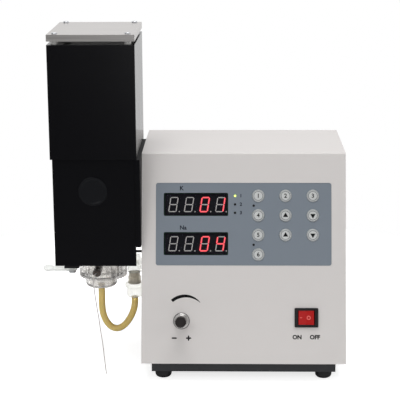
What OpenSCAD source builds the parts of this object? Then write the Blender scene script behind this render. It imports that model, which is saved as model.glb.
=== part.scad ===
// Flame photometer: a control cabinet with a burner tower on its left side.
// The model is built round the lower left front edge of the cabinet's sheet metal:
// X runs to the right, Y to the back and Z up from the bench. Lengths are millimetres.

/* [Cabinet] */
// Width of the cabinet
cab_w = 270; // [240:1:340]
// Height of the cabinet's sheet metal, without plinth and feet
cab_h = 268; // [250:1:320]
// Depth of the cabinet at its foot
cab_d = 235; // [220:1:300]
// Lean-back angle of the front
lean = 16; // [10:1:18]
// Thickness of the sheet metal
sheet = 1.5; // [1.2:0.1:2]
// Outer radius of the fold between front and top
fold_r = 2.5; // [2:0.5:4]
// Width of the flange that the rear panel is screwed to
rear_flange = 11; // [10:1:14]

/* [Plinth and feet] */
// Height of the plinth under the cabinet
plinth_h = 15; // [9:1:20]
// Set-in of the plinth from the cabinet's sides
plinth_side = 13; // [8:1:20]
// Set-in of the plinth from the cabinet's front and back
plinth_end = 11; // [8:1:20]
// Height of a rubber foot
foot_h = 12; // [11:1:20]
// Radius of a rubber foot
foot_r = 11; // [9:0.5:13]
// Distance of a foot's centre from the plinth's edges
foot_inset = 15; // [14:1:24]

/* [Keypad overlay] */
// Left edge of the overlay from the cabinet's side
overlay_x = 18.7; // [12:0.1:26]
// Lower edge of the overlay above the front's foot, along the slope
overlay_v = 129.5; // [120:0.5:134]
// Width of the overlay
overlay_w = 232.4; // [228:0.2:236]
// Height of the overlay along the slope
overlay_h = 109.5; // [108:0.5:114]
// Corner radius of the overlay
overlay_r = 3; // [1:0.5:5]
// Thickness of the overlay sheet
overlay_t = 0.6; // [0.4:0.1:0.8]
// Depth of the recess that the overlay is stuck in
recess = 0.9; // [0.8:0.1:1]
// Width of a display window
window_w = 85.4; // [83:0.2:88]
// Height of a display window
window_h = 30.5; // [29:0.1:32]
// Left edge of the windows from the overlay's left edge
window_x = 10.5; // [8:0.5:14]
// Height of the upper window's lower edge above the overlay's lower edge
window_v_upper = 65.7; // [64:0.1:72]
// Height of the lower window's lower edge above the overlay's lower edge
window_v_lower = 13.7; // [10:0.1:20]
// Thickness of a window pane
pane_t = 2.5; // [2:0.1:2.6]

/* [Keys] */
// Diameter of a key
key_d = 16; // [12:0.5:18]
// Height of a key above the front's plane
key_proud = 0.6; // [0.5:0.1:1.5]
// Travel of a key
key_travel = 0.5; // [0.3:0.1:0.6]
// Distance of the right key column from the overlay's right edge
key_x = 24.6; // [22:0.1:28]
// Distance between key columns
key_pitch_x = 36.05; // [30:0.05:38]
// Height of the lowest key above the overlay's lower edge
key_v = 14.6; // [12:0.2:18]
// Distance between key rows
key_pitch_v = 25.87; // [22:0.01:28]

/* [Indicators] */
// Diameter of an indicator lamp
led_d = 3; // [2.5:0.1:4]
// Left lamp column from the overlay's left edge
led_x = 105; // [102:0.1:108]
// Height of the highest lamp above the overlay's lower edge
led_v = 92.2; // [90:0.2:96]
// Distance between the three lamps
led_pitch = 11.2; // [8:0.2:12]
// Distance of the middle lamp column to the left of the first key column
led_key_x = 6.1; // [5.6:0.1:8]

/* [Mains switch] */
// Width of the switch bezel
switch_w = 31.2; // [30:0.2:34]
// Height of the switch bezel
switch_h = 25.4; // [25:0.2:28]
// Centre of the switch from the cabinet's left side
switch_x = 217.8; // [190:0.2:235]
// Centre of the switch above the front's foot
switch_v = 61.1; // [50:0.1:90]
// Height of the bezel above the front
bezel_t = 2; // [1.5:0.1:3]
// Width of the rocker
rocker_w = 20.4; // [18:0.2:21]
// Height of the rocker
rocker_h = 18.2; // [16:0.2:19]
// Full swing of the rocker from on to off
rocker_swing = 20; // [14:1:24]

/* [Gas valve] */
// Centre of the valve from the cabinet's left side
valve_x = 53; // [45:0.5:70]
// Centre of the valve above the front's foot
valve_v = 56.3; // [45:0.1:80]
// Diameter of the chromed nut on the front
nut_d = 20.5; // [18:0.5:24]
// Thickness of the chromed nut
nut_t = 3.5; // [2.5:0.5:5]
// Diameter of the nut's collar
collar_d = 15; // [14:0.5:17]
// Diameter of the knob
knob_d = 14.6; // [13:0.2:18]
// Distance of the knob's outer end from the front
knob_reach = 34; // [30:0.5:40]
// Length of the knob
knob_l = 17; // [13:0.5:20]
// Diameter of the valve's spindle
spindle_d = 6; // [5:0.5:7]
// Lift of the needle for one turn of the knob
needle_pitch = 0.75; // [0.5:0.05:1]
// Turns of the knob from closed to fully open
knob_turns = 3; // [1:0.5:4]

/* [Tower] */
// Gap between the tower and the cabinet
tower_gap = 6.5; // [5:0.5:12]
// Width of the tower's lower cover
cover_w = 107.5; // [100:0.5:125]
// Height of the lower cover
cover_h = 143.5; // [130:0.5:150]
// Step between the hood and the cover on each side
hood_over = 2.5; // [1.7:0.1:4]
// Depth of the hood
hood_d = 145; // [138:1:160]
// Height of the hood
hood_h = 149; // [130:1:170]
// Distance of the hood behind the foot of the cabinet's front
tower_y = 30; // [24:1:40]
// Thickness of the tower's sheet metal
skin = 1.2; // [1:0.1:1.5]
// Overlap of the hood and the lower cover
hood_lap = 12; // [8:1:20]
// Height of the lid's flange
lid_h = 8.5; // [6:0.5:12]
// Gap between the lid's flange and the hood
lid_gap = 4.5; // [3:0.5:10]
// Distance of the lid screws from the lid's edges
lid_inset = 9.5; // [7:0.5:14]
// Diameter of the viewing window
view_d = 38; // [30:1:48]
// Height of the viewing window's centre above the tower's bottom
view_z = 101.5; // [92:0.5:106]
// Distance of the viewing window's centre to the left of the burner's axis
view_shift = 1.5; // [0:0.5:3]
// Height of the bridge between tower and cabinet
bridge_h = 117.5; // [100:0.5:120]
// Distance of the bridge behind the tower's front
bridge_inset = 1.5; // [1:0.5:6]
// Width of the step in the tower's right side below the bridge
step_w = 12; // [11:0.5:13]

/* [Burner] */
// Diameter of the mixing chamber's collar under the tower
chamber_d = 65; // [64:1:76]
// Distance of the collar's centre to the right of the burner's axis
collar_shift = 3; // [0:0.5:3]
// Height of the collar
chamber_h = 32.5; // [30:0.5:35]
// Diameter of the chamber inside the tower
chamber_neck_d = 56; // [50:1:60]
// Height of the chamber inside the tower
chamber_neck_h = 32; // [26:1:36]
// Wall of the clear chamber parts
clear_wall = 4; // [3:0.5:5]
// Diameter of the drain cup
cup_d = 42.6; // [38:0.2:48]
// Height of the drain cup
cup_h = 15.5; // [14:0.5:18]
// Diameter of the burner head
burner_d = 28; // [24:1:34]
// Height of the burner head
burner_h = 26; // [20:1:28]
// Outer diameter of the chimney glass
glass_d = 64; // [60:1:72]
// Height of the chimney glass
glass_h = 205; // [190:1:208]
// Wall of the chimney glass
glass_t = 2.5; // [2:0.5:3]
// Diameter of the nebulizer's body
neb_d = 11; // [9:0.5:13]
// Distance of the nebulizer's axis below the tower's bottom
neb_drop = 15; // [14:0.5:18]
// Length of the nebulizer in front of the collar
neb_out = 24.5; // [16:0.5:26]

/* [Drain trap] */
// Diameter of the trap's body
trap_d = 19; // [16:0.2:20]
// Distance of the trap's axis from the cabinet's side
trap_gap = 14.6; // [14.2:0.1:20]
// Distance of the trap's top below the tower's bottom
trap_drop = 5; // [2:0.5:8]
// Height of the trap's body
trap_h = 24; // [24:0.5:32]
// Height of the sight tube
sight_h = 16; // [12:0.5:24]
// Height of the trap's nut
trap_nut_h = 19.5; // [14:0.5:24]
// Diameter of the flange on the trap's nut
trap_flange_d = 26; // [22:0.5:27]

/* [Hose nipples and inlet] */
// Diameter of a hose nipple
nipple_d = 8; // [6:0.5:10]
// Length of a hose nipple behind its shoulder
nipple_l = 18; // [14:1:24]
// Distance of the nipples from the cabinet's left side
nipple_x = 40; // [30:1:60]
// Height of the gas nipple above the cabinet's sheet metal foot
gas_z = 70; // [55:1:90]
// Height of the air nipple above the cabinet's sheet metal foot
air_z = 125; // [110:1:150]
// Centre of the power inlet from the cabinet's left side
inlet_x = 215; // [190:1:230]
// Height of the power inlet above the cabinet's sheet metal foot
inlet_z = 60; // [50:1:90]

/* [Shutter lever] */
// Diameter of the lever's grip
grip_d = 14; // [10:0.5:18]
// Distance from the lever's pivot to the grip's centre
lever_l = 32; // [30:1:42]
// Distance of the pivot to the left of the burner's axis
pivot_x = 36; // [34:0.5:40]
// Distance of the pivot in front of the burner's axis
pivot_y = 32; // [28:1:40]
// Depth of the lever under the tower's bottom
lever_drop = 17; // [12:0.5:20]

/* [Hidden] */
$fn = 48;

// Fits and small clearances
fit_gap = 0.15;
run_gap = 0.06;
free_gap = 0.3;

// Heights from the bench
cab_z = foot_h + plinth_h;
cab_top = cab_z + cab_h;

// Positions on the sloping front
window_left = overlay_x + window_x;
windows_v = [overlay_v + window_v_lower, overlay_v + window_v_upper];
key_left = overlay_x + overlay_w - key_x - 2 * key_pitch_x;
key_low = overlay_v + key_v;
// Columns and rows of the ten keys, counted from the top left one
KEY_CELLS = [[0, 3], [1, 3], [2, 3], [0, 2], [1, 2], [2, 2], [0, 1], [1, 1], [2, 1], [0, 0]];
key_flange = 1.2;
key_stem_d = 4;
// Lamps: a column of three beside the upper window, and one under each first key of a pair
led_places = concat(
    [for (i = [0:2]) [overlay_x + led_x, overlay_v + led_v - i * led_pitch]],
    [for (row = [0, 2]) [key_left - led_key_x, key_low + (row + 0.5) * key_pitch_v]]);

// The light port, from the burner's axis
port_front = 22;
port_back = 54;
port_h = 88;
port_below = 67;

// Depths behind the front
board_depth = 12;
board_t = 1.6;
board_margin = 6;
module_depth = pane_t + 0.5;
window_r = 2;
tact_h = 3.6;
plunger_h = 1.2;
stud_d = 6;

// Tower, from the burner's axis
axis_x = -tower_gap - cover_w / 2;
axis_y = tower_y + hood_d / 2;
cover_d = hood_d - 2 * hood_over;
hood_w = cover_w + 2 * hood_over;
tower_z = cab_top - cover_h;
hood_z = cab_top + 0.5;
hood_top = hood_z + hood_h;
lid_z = hood_top + lid_gap;
lid_top = lid_z + lid_h;
bridge_z = cab_top - bridge_h;
view_height = tower_z + view_z;
// The step leaves room for the light port above it
step_x = -tower_gap - step_w;
step_h = min(bridge_z - tower_z, view_z - port_below - 2 * skin);
collar_z = tower_z - chamber_h;
cup_z = collar_z - cup_h;
neck_top = tower_z + chamber_neck_h;
deck_t = 3;
burner_z = neck_top + deck_t;
trap_x = -trap_gap;
trap_top = tower_z - trap_drop;
sight_z = trap_top - trap_h - sight_h;
nut_z = sight_z - trap_nut_h;
lever_z = tower_z - lever_drop;
shoulder_l = 6;

// The fuel tube between the cabinet and the tower
fuel_y = 60;
fuel_z = 164;
fuel_d = 3.6;
// The air hose
air_d = 6;
gas_d = 8;

// Overall reach, which places the origin under the middle of the part
knob_r = knob_d / 2;
knob_round = 1.2;
reach_front = valve_v * sin(lean) - (knob_reach - knob_round) * cos(lean)
    - (knob_r - knob_round) * sin(lean) - knob_round;
reach_back = cab_d + shoulder_l + nipple_l;
reach_left = axis_x - pivot_x - lever_l - grip_d / 2;
reach_right = cab_w;
mid_x = (reach_left + reach_right) / 2;
mid_y = (reach_front + reach_back) / 2;

// Route of the drain hose: down from the cup, round the bottom and up to the trap
drain_d = 9.2;
DRAIN = [[-60.25, 102.5, 103.4], [-60.25, 102.5, 96], [-60.3, 102.5, 88], [-60.4, 102.5, 80],
         [-60.2, 102.5, 72], [-59.3, 102.5, 64], [-57.2, 102.5, 56], [-53.4, 102.5, 48.5],
         [-48.2, 102.5, 42.8], [-41.8, 102.5, 40.2], [-35.4, 102.5, 41.2], [-29.8, 102.5, 45],
         [-24.6, 102.5, 51], [-20.4, 102.5, 58], [-17.2, 102.5, 65.5], [-15.2, 102.5, 73],
         [-14.6, 102.5, 79.5], [-14.6, 102.5, 86.8]];
// Route of the sample capillary: out of the nebulizer's nose and down to the sample
capillary_d = 1.4;
CAPILLARY = [[-61.5, 44.7, 137], [-62.6, 42.6, 136.8], [-63.7, 41, 135.6], [-64.4, 40.2, 133.4],
             [-64.7, 39.7, 130], [-64.6, 39, 125.5], [-63.9, 38, 118], [-62.9, 37, 110],
             [-61.6, 35.8, 101], [-60, 34, 91], [-58.2, 31.8, 81], [-56.6, 29.6, 70],
             [-55.1, 27.6, 60], [-53.4, 25.4, 50], [-51.9, 23, 39], [-50.6, 20.6, 28],
             [-49.2, 17.8, 17], [-47.8, 15, 6.5]];

// ---------- Helpers ----------

// The sloping front: X to the right, Y up the slope and Z out of the front
module on_front() {
    translate([0, 0, cab_z]) rotate([90 - lean, 0, 0]) children();
}

// The rear panel: X stays, Y up and Z towards the front, from the outer face
module on_rear() {
    translate([0, cab_d, 0]) rotate([90, 0, 0]) children();
}

// Extrudes a Y-Z outline along X
module along_x(length) {
    rotate([90, 0, 90]) linear_extrude(length) children();
}

module rounded_rect(w, h, r) {
    translate([r, 0]) square([w - 2 * r, h]);
    translate([0, r]) square([w, h - 2 * r]);
    for (x = [r, w - r], y = [r, h - r]) translate([x, y]) circle(r);
}

// A rectangular tube that stands on z = 0, with its corner at the origin
module box_tube(w, d, h, wall) {
    difference() {
        cube([w, d, h]);
        translate([wall, wall, -1]) cube([w - 2 * wall, d - 2 * wall, h + 2]);
    }
}

function arc(c, r, a0, a1, n = 8) =
    [for (i = [0:n]) let(a = a0 + (a1 - a0) * i / n) c + r * [cos(a), sin(a)]];

// Side view of the cabinet, drawn inset from the front and the top
function side_outline(inset, back, low) =
    let(r = max(fold_r - inset, 0.3),
        top = cab_top - inset,
        foot_y = inset / cos(lean) + (low - cab_z) * tan(lean),
        corner_y = inset / cos(lean) + (top - cab_z) * tan(lean),
        centre = [corner_y + r * tan((90 - lean) / 2), top - r])
    concat([[back, low], [foot_y, low]], arc(centre, r, 180 - lean, 90), [[back, top]]);

function unit(v) = v / norm(v);
function path_dir(p, i) =
    unit(p[min(i + 1, len(p) - 1)] - p[max(i - 1, 0)]);

// A round tube swept along a list of points
module tube(path, d, sides) {
    n = len(path);
    side = unit(cross(path_dir(path, 0), [0.12, 1, 0.05]));
    rings = [for (i = [0:n - 1])
        let(t = path_dir(path, i),
            u = unit(side - (side * t) * t),
            v = cross(t, u))
        for (k = [0:sides - 1])
            path[i] + d / 2 * (cos(360 * k / sides) * u + sin(360 * k / sides) * v)];
    walls = [for (i = [0:n - 2], k = [0:sides - 1])
        let(a = i * sides + k, b = i * sides + (k + 1) % sides)
        each [[a, a + sides, b], [b, a + sides, b + sides]]];
    start = [for (k = [1:sides - 2]) [0, k, k + 1]];
    base = (n - 1) * sides;
    end = [for (k = [1:sides - 2]) [base, base + k + 1, base + k]];
    polyhedron(points = rings, faces = concat(walls, start, end), convexity = 4);
}

// A pan-head screw with its head's underside at z = 0 and its shank down
module screw(head_d, head_h, shank_d, shank_l) {
    rotate_extrude() polygon(concat(
        [[0, -shank_l], [shank_d / 2, -shank_l], [shank_d / 2, 0], [head_d / 2, 0]],
        arc([head_d / 2 - head_h * 0.6, head_h * 0.4], head_h * 0.6, 0, 90, 4),
        [[0, head_h]]));
}

// The light's way from the tower through the bridge into the cabinet
module light_port(x, length) {
    translate([x, axis_y - port_front, view_height - port_below])
        cube([length, port_front + port_back, port_h]);
}

// ---------- Cabinet ----------

stud_places = [
    for (x = [board_margin, overlay_w - board_margin], v = [board_margin, overlay_h - board_margin])
        [overlay_x + x, overlay_v + v]];
rear_screw_x = [rear_flange / 2 + 0.5, cab_w / 2, cab_w - rear_flange / 2 - 0.5];
rear_screw_z = [cab_z + 12, cab_top - rear_flange / 2 - 0.5];
trap_arm_z = trap_top - 9;
trap_arm_d = 9;
valve_shank_d = 12;

module key_places() {
    for (cell = KEY_CELLS)
        translate([key_left + cell[0] * key_pitch_x, key_low + cell[1] * key_pitch_v, 0]) children();
}

// The front's cut-outs, which reach through the sheet to both sides
cut_reach = 5 * sheet;

module front_cutouts() {
    translate([overlay_x, overlay_v, -recess])
        linear_extrude(recess + 1) rounded_rect(overlay_w, overlay_h, overlay_r);
    translate([0, 0, -cut_reach]) {
        for (v = windows_v) translate([window_left, v, 0]) cube([window_w, window_h, 2 * cut_reach]);
        key_places() cylinder(d = key_d + 2 * free_gap, h = 2 * cut_reach);
        for (p = led_places) translate([p[0], p[1], 0]) cylinder(d = led_d + 2 * fit_gap, h = 2 * cut_reach);
        translate([valve_x, valve_v, 0]) cylinder(d = valve_shank_d + 2 * fit_gap, h = 2 * cut_reach);
        translate([switch_x - switch_body_w / 2 - fit_gap, switch_v - switch_body_h / 2 - fit_gap, 0])
            cube([switch_body_w + 2 * fit_gap, switch_body_h + 2 * fit_gap, 2 * cut_reach]);
    }
}

module rear_screw_places() {
    for (x = rear_screw_x, z = rear_screw_z) translate([x, z, 0]) children();
}

module cabinet_shell() color("gainsboro") {
    difference() {
        along_x(cab_w) polygon(side_outline(0, cab_d, cab_z));
        translate([sheet, 0, 0]) along_x(cab_w - 2 * sheet) polygon(side_outline(sheet, cab_d + 1, cab_z - 1));
        on_front() front_cutouts();
        // Side cut-outs: the light path, the fuel tube and the trap's arm
        light_port(-1, sheet + 2);
        translate([-1, fuel_y, fuel_z]) rotate([0, 90, 0]) cylinder(d = fuel_d + 2 * fit_gap, h = sheet + 2);
        translate([-1, axis_y, trap_arm_z]) rotate([0, 90, 0])
            cylinder(d = trap_arm_d + 2 * run_gap, h = sheet + 2);
    }
    // Flange round the back for the rear panel
    difference() {
        translate([sheet, cab_d - 2 * sheet, cab_z + sheet])
            cube([cab_w - 2 * sheet, sheet, cab_h - 2 * sheet]);
        translate([rear_flange, cab_d - 3 * sheet, cab_z])
            cube([cab_w - 2 * rear_flange, 3 * sheet, cab_h - rear_flange]);
        on_rear() rear_screw_places() cylinder(d = case_screw_d + 2 * fit_gap, h = 10);
    }
    // Studs that carry the display board
    on_front() for (p = stud_places)
        translate([p[0], p[1], -board_depth]) cylinder(d = stud_d, h = board_depth - recess - 0.3);
}

case_screw_d = 3.9;
case_head_d = 7;
case_head_h = 2.2;
vent_n = 9;
vent_pitch = 9;
vent_w = 3.5;
vent_l = 60;
vent_below_top = 40;
inlet_body_w = 27.4;
inlet_body_h = 20;
nipple_thread_d = 10;
nipple_nut_l = 4;
nipple_bevel = 1.2;
nipple_inside = sheet + 10;

module rear_panel() color("gainsboro") difference() {
    translate([sheet + fit_gap, cab_d - sheet, cab_z + sheet])
        cube([cab_w - 2 * sheet - 2 * fit_gap, sheet, cab_h - 2 * sheet - fit_gap]);
    on_rear() {
        rear_screw_places() translate([0, 0, -1]) cylinder(d = case_screw_d + 2 * fit_gap, h = 10);
        for (z = [gas_z, air_z])
            translate([nipple_x, cab_z + z, -1]) cylinder(d = nipple_thread_d + 2 * fit_gap, h = 10);
        translate([inlet_x - inlet_body_w / 2 - fit_gap, cab_z + inlet_z - inlet_body_h / 2 - fit_gap, -1])
            cube([inlet_body_w + 2 * fit_gap, inlet_body_h + 2 * fit_gap, 10]);
        // Two banks of vent slots
        for (bank = [0.3, 0.7], i = [0:vent_n - 1])
            translate([bank * cab_w - vent_l / 2, cab_top - vent_below_top - i * vent_pitch, -1])
                linear_extrude(10) rounded_rect(vent_l, vent_w, vent_w / 2 - 0.01);
    }
}

plinth_x0 = plinth_side;
plinth_w = cab_w - 2 * plinth_side;
plinth_d = cab_d - 2 * plinth_end;
foot_places = [for (x = [plinth_x0 + foot_inset, plinth_x0 + plinth_w - foot_inset],
                    y = [plinth_end + foot_inset, plinth_end + plinth_d - foot_inset]) [x, y]];
post_h = 8;
post_d = 7;
board_x = cab_w - 150;
board_y = 70;
board_w = 110;
board_l = 130;
post_inset = 8;
board_holes = [for (x = [post_inset, board_w - post_inset], y = [post_inset, board_l - post_inset]) [x, y]];

module base_pan() color("dimgray") {
    difference() {
        // Plinth tray
        translate([plinth_x0, plinth_end, foot_h]) cube([plinth_w, plinth_d, plinth_h]);
        translate([plinth_x0 + sheet, plinth_end + sheet, foot_h + sheet])
            cube([plinth_w - 2 * sheet, plinth_d - 2 * sheet, plinth_h]);
        for (p = foot_places) translate([p[0], p[1], foot_h - 1])
            cylinder(d = case_screw_d + 2 * fit_gap, h = sheet + 2);
    }
    // Rim that closes the cabinet's bottom
    difference() {
        translate([sheet + fit_gap, 2 * sheet, cab_z])
            cube([cab_w - 2 * sheet - 2 * fit_gap, cab_d - 3 * sheet - fit_gap, sheet]);
        translate([plinth_x0 + sheet, plinth_end + sheet, cab_z - 1])
            cube([plinth_w - 2 * sheet, plinth_d - 2 * sheet, sheet + 2]);
    }
    for (p = board_holes) translate([board_x + p[0], board_y + p[1], foot_h + sheet])
        cylinder(d = post_d, h = post_h);
}

foot_pad_r = 6;
foot_recess_d = 8.6;
foot_recess_h = 7;

module feet() color("#202022") for (p = foot_places) translate([p[0], p[1], 0]) difference() {
    rotate_extrude() polygon(concat(
        [[0, 0], [foot_pad_r, 0]],
        arc([foot_pad_r, foot_r - foot_pad_r], foot_r - foot_pad_r, -90, 0, 10),
        [[foot_r, foot_h], [0, foot_h]]));
    translate([0, 0, -1]) cylinder(d = foot_recess_d, h = foot_recess_h + 1);
    cylinder(d = case_screw_d + 2 * fit_gap, h = foot_h + 1);
}

module case_screws() color("silver") {
    for (p = foot_places) translate([p[0], p[1], foot_recess_h]) mirror([0, 0, 1])
        screw(case_head_d, case_head_h, case_screw_d, foot_h - foot_recess_h + sheet + 2);
    on_rear() rear_screw_places() mirror([0, 0, 1])
        screw(case_head_d, case_head_h, case_screw_d, 2 * sheet + 3);
}

// ---------- Keypad and displays ----------

module overlay_panel() color("slategray") on_front() difference() {
    translate([overlay_x + fit_gap, overlay_v + fit_gap, -recess])
        linear_extrude(overlay_t) rounded_rect(overlay_w - 2 * fit_gap, overlay_h - 2 * fit_gap, overlay_r);
    for (v = windows_v) translate([window_left, v, -2])
        linear_extrude(4) rounded_rect(window_w, window_h, window_r);
    key_places() translate([0, 0, -2]) cylinder(d = key_d + 2 * free_gap, h = 4);
    for (p = led_places) translate([p[0], p[1], -2]) cylinder(d = led_d + 2 * fit_gap, h = 4);
}

module display_windows() color("#1c1c21") on_front() for (v = windows_v)
    translate([window_left + fit_gap, v + fit_gap, -pane_t - 0.4])
        linear_extrude(pane_t) rounded_rect(window_w - 2 * fit_gap, window_h - 2 * fit_gap, window_r);

module display_modules() color("#2b2b30") on_front() for (v = windows_v)
    translate([window_left + 2, v + 1.5, -board_depth])
        cube([window_w - 4, window_h - 3, board_depth - module_depth]);

module display_board() color("darkgreen") on_front() {
    translate([overlay_x + 1, overlay_v + 1, -board_depth - board_t])
        cube([overlay_w - 2, overlay_h - 2, board_t]);
    key_places() {
        translate([-3, -3, -board_depth]) cube([6, 6, tact_h]);
        translate([0, 0, -board_depth + tact_h]) cylinder(d = 3.5, h = plunger_h);
    }
}

module indicator_leds() color("#1a1a1a") on_front() for (p = led_places) translate([p[0], p[1], 0]) {
    translate([0, 0, -board_depth]) cylinder(d = led_d + 2, h = board_depth - sheet - 1.5);
    translate([0, 0, -sheet - 2]) cylinder(d = led_d, h = sheet + 1.8);
}

// A round key with a flange behind the front, so that it can't fall out
module key(cell) color("lightgray") on_front()
    translate([key_left + cell[0] * key_pitch_x, key_low + cell[1] * key_pitch_v, 0]) {
        rotate_extrude() {
            flange_top = -sheet - 0.2;
            flange_low = flange_top - key_flange;
            stem_end = -board_depth + tact_h + plunger_h + key_travel + free_gap;
            polygon([[0, stem_end], [key_stem_d / 2, stem_end], [key_stem_d / 2, flange_low],
                     [key_d / 2 + 1.2, flange_low], [key_d / 2 + 1.2, flange_top],
                     [key_d / 2, flange_top], [key_d / 2, key_proud - 0.4],
                     [key_d / 2 - 0.4, key_proud], [key_d / 2 - 2, key_proud],
                     [key_d / 2 - 2.2, key_proud - 0.2], [key_d / 2 - 2.6, key_proud - 0.2],
                     [key_d / 2 - 2.8, key_proud], [0, key_proud]]);
        }
    }

// ---------- Mains switch ----------

switch_body_w = 27.4;
switch_body_h = 21.8;
switch_depth = 20;
rocker_pivot = 0.4;
rocker_rise = 3.4;
rocker_drop = 3;
rocker_keel = 6;
pin_d = 3;
pin_l = 1.2;

module switch_housing() color("#1b1b1d") on_front() translate([switch_x, switch_v, 0]) {
    difference() {
        union() {
            translate([-switch_w / 2, -switch_h / 2, 0])
                linear_extrude(bezel_t) rounded_rect(switch_w, switch_h, 1.5);
            translate([-switch_body_w / 2, -switch_body_h / 2, -switch_depth])
                cube([switch_body_w, switch_body_h, switch_depth]);
        }
        // Well that the rocker swings in
        translate([-rocker_w / 2 - 1, -rocker_h / 2 - free_gap, -8])
            cube([rocker_w + 2, rocker_h + 2 * free_gap, 8 + bezel_t + 1]);
        rotate([90, 0, 0]) translate([0, rocker_pivot, -rocker_h / 2 - free_gap - pin_l])
            cylinder(d = pin_d + 2 * run_gap, h = rocker_h + 2 * free_gap + 2 * pin_l);
    }
    for (x = [-9, 0, 9]) translate([x - 2.4, -0.4, -switch_depth - 8]) cube([4.8, 0.8, 8]);
}

module switch_rocker() color("red") on_front() translate([switch_x, switch_v, rocker_pivot])
    rotate([0, -rocker_swing / 2, 0]) rotate([90, 0, 0]) {
        w = rocker_w / 2;
        translate([0, 0, -rocker_h / 2]) linear_extrude(rocker_h) polygon(concat(
            [[-w, -rocker_drop], [-4, -rocker_keel], [4, -rocker_keel], [w, -rocker_drop],
             [w, rocker_rise - 0.6], [w - 0.6, rocker_rise]],
            [[0.8, rocker_rise - 1.9], [0, rocker_rise - 2], [-0.8, rocker_rise - 1.9]],
            [[0.6 - w, rocker_rise], [-w, rocker_rise - 0.6]]));
        translate([0, 0, -rocker_h / 2 - pin_l]) cylinder(d = pin_d, h = rocker_h + 2 * pin_l);
    }

// ---------- Gas valve ----------

collar_reach = knob_reach - knob_l - 0.5;
spindle_in = 18;
needle_d = 3;
needle_bore_top = -3;
needle_lift = needle_pitch * knob_turns;
valve_body_l = 40;
valve_body_d = 20;
stub_d = 5;
stub_l = 8;
valve_port_depth = 28;
valve_bore_d = 2.4;
valve_room_d = 7;
valve_room_h = 9.5;
valve_room_depth = 33;
needle_shoulder = -26.5;
needle_tip = -31.6;
needle_play = 0.6;

module on_valve() {
    on_front() translate([valve_x, valve_v, 0]) children();
}

// Brass body behind the front, with the gas port at its back and the outlet at its left
module valve_body() color("goldenrod") on_valve() difference() {
    union() {
        translate([0, 0, -valve_body_l]) cylinder(d = valve_body_d, h = valve_body_l - sheet, $fn = 6);
        translate([0, 0, -sheet]) cylinder(d = valve_shank_d, h = sheet);
        translate([0, 0, -valve_body_l - stub_l]) cylinder(d = stub_d, h = stub_l);
        translate([-valve_body_d / 2 - stub_l, 0, -valve_port_depth]) rotate([0, 90, 0])
            cylinder(d = stub_d, h = stub_l + 3);
    }
    translate([0, 0, -spindle_in - 1]) cylinder(d = spindle_d + 2 * run_gap, h = spindle_in + 3);
    translate([0, 0, -24]) cylinder(d = needle_d + 2 * run_gap, h = 10);
    translate([0, 0, -valve_room_depth]) cylinder(d = valve_room_d, h = valve_room_h);
    translate([0, 0, -valve_body_l - stub_l - 1]) cylinder(d = valve_bore_d, h = 20);
    translate([-valve_body_d / 2 - stub_l - 1, 0, -valve_port_depth]) rotate([0, 90, 0])
        cylinder(d = valve_bore_d, h = stub_l + valve_body_d / 2);
}

// Chromed nut that clamps the valve to the front, with the collar that the knob covers
module valve_nut() color("silver") on_valve() rotate_extrude() polygon([
    [spindle_d / 2 + run_gap, 0], [nut_d / 2, 0], [nut_d / 2, nut_t - 1], [nut_d / 2 - 1, nut_t],
    [collar_d / 2 + 0.6, nut_t], [collar_d / 2, nut_t + 0.6], [collar_d / 2, collar_reach - 1],
    [collar_d / 2 - 1, collar_reach], [spindle_d / 2 + run_gap, collar_reach]]);

module valve_spindle() color("silver") on_valve() difference() {
    translate([0, 0, -spindle_in]) cylinder(d = spindle_d, h = spindle_in + knob_reach - 3);
    translate([0, 0, -spindle_in - 1])
        cylinder(d = needle_d + 2 * run_gap, h = spindle_in + 1 + needle_bore_top);
}

knob_flutes = 18;
knob_flute_d = 1.6;

module valve_knob() color("#2a211e") on_valve() difference() {
    rotate_extrude() polygon(concat(
        [[0, knob_reach - knob_l], [knob_r, knob_reach - knob_l]],
        arc([knob_r - knob_round, knob_reach - knob_round], knob_round, 0, 90, 4),
        [[knob_r - 2.2, knob_reach], [knob_r - 2.6, knob_reach - 0.6], [0, knob_reach - 0.6]]));
    translate([0, 0, knob_reach - knob_l - 1]) cylinder(d = spindle_d, h = knob_l - 2);
    for (i = [0:knob_flutes - 1]) rotate([0, 0, i * 360 / knob_flutes])
        translate([knob_r + 0.35, 0, knob_reach - knob_l + 2.5]) cylinder(d = knob_flute_d, h = knob_l);
}

module valve_needle() color("darkgoldenrod") on_valve() rotate_extrude() polygon([
    [0, needle_tip], [0.6, needle_tip], [needle_d / 2, needle_shoulder],
    [needle_d / 2, needle_bore_top - needle_lift - needle_play],
    [0, needle_bore_top - needle_lift - needle_play]]);

// ---------- Rear connections ----------

// Hose nipple through the rear panel, with its shoulder on the panel and a stub inside
module nipple(z, tube_d) {
    translate([nipple_x, cab_d, cab_z + z]) rotate([-90, 0, 0]) rotate_extrude() {
        r = nipple_d / 2;
        nut_r = nipple_thread_d / 2 + 3;
        shoulder_r = nipple_thread_d / 2 + 2.5;
        tip = shoulder_l + nipple_l;
        polygon([[0, -nipple_inside], [tube_d / 2, -nipple_inside], [tube_d / 2, -sheet - nipple_nut_l],
                 [nut_r, -sheet - nipple_nut_l], [nut_r, -sheet], [nipple_thread_d / 2, -sheet],
                 [nipple_thread_d / 2, 0], [shoulder_r, 0], [shoulder_r, shoulder_l], [r, shoulder_l],
                 [r, tip - nipple_bevel], [r - nipple_bevel, tip], [0, tip]]);
    }
}

module gas_inlet() color("goldenrod") nipple(gas_z, gas_d);

module air_inlet() color("goldenrod") nipple(air_z, air_d);

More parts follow.
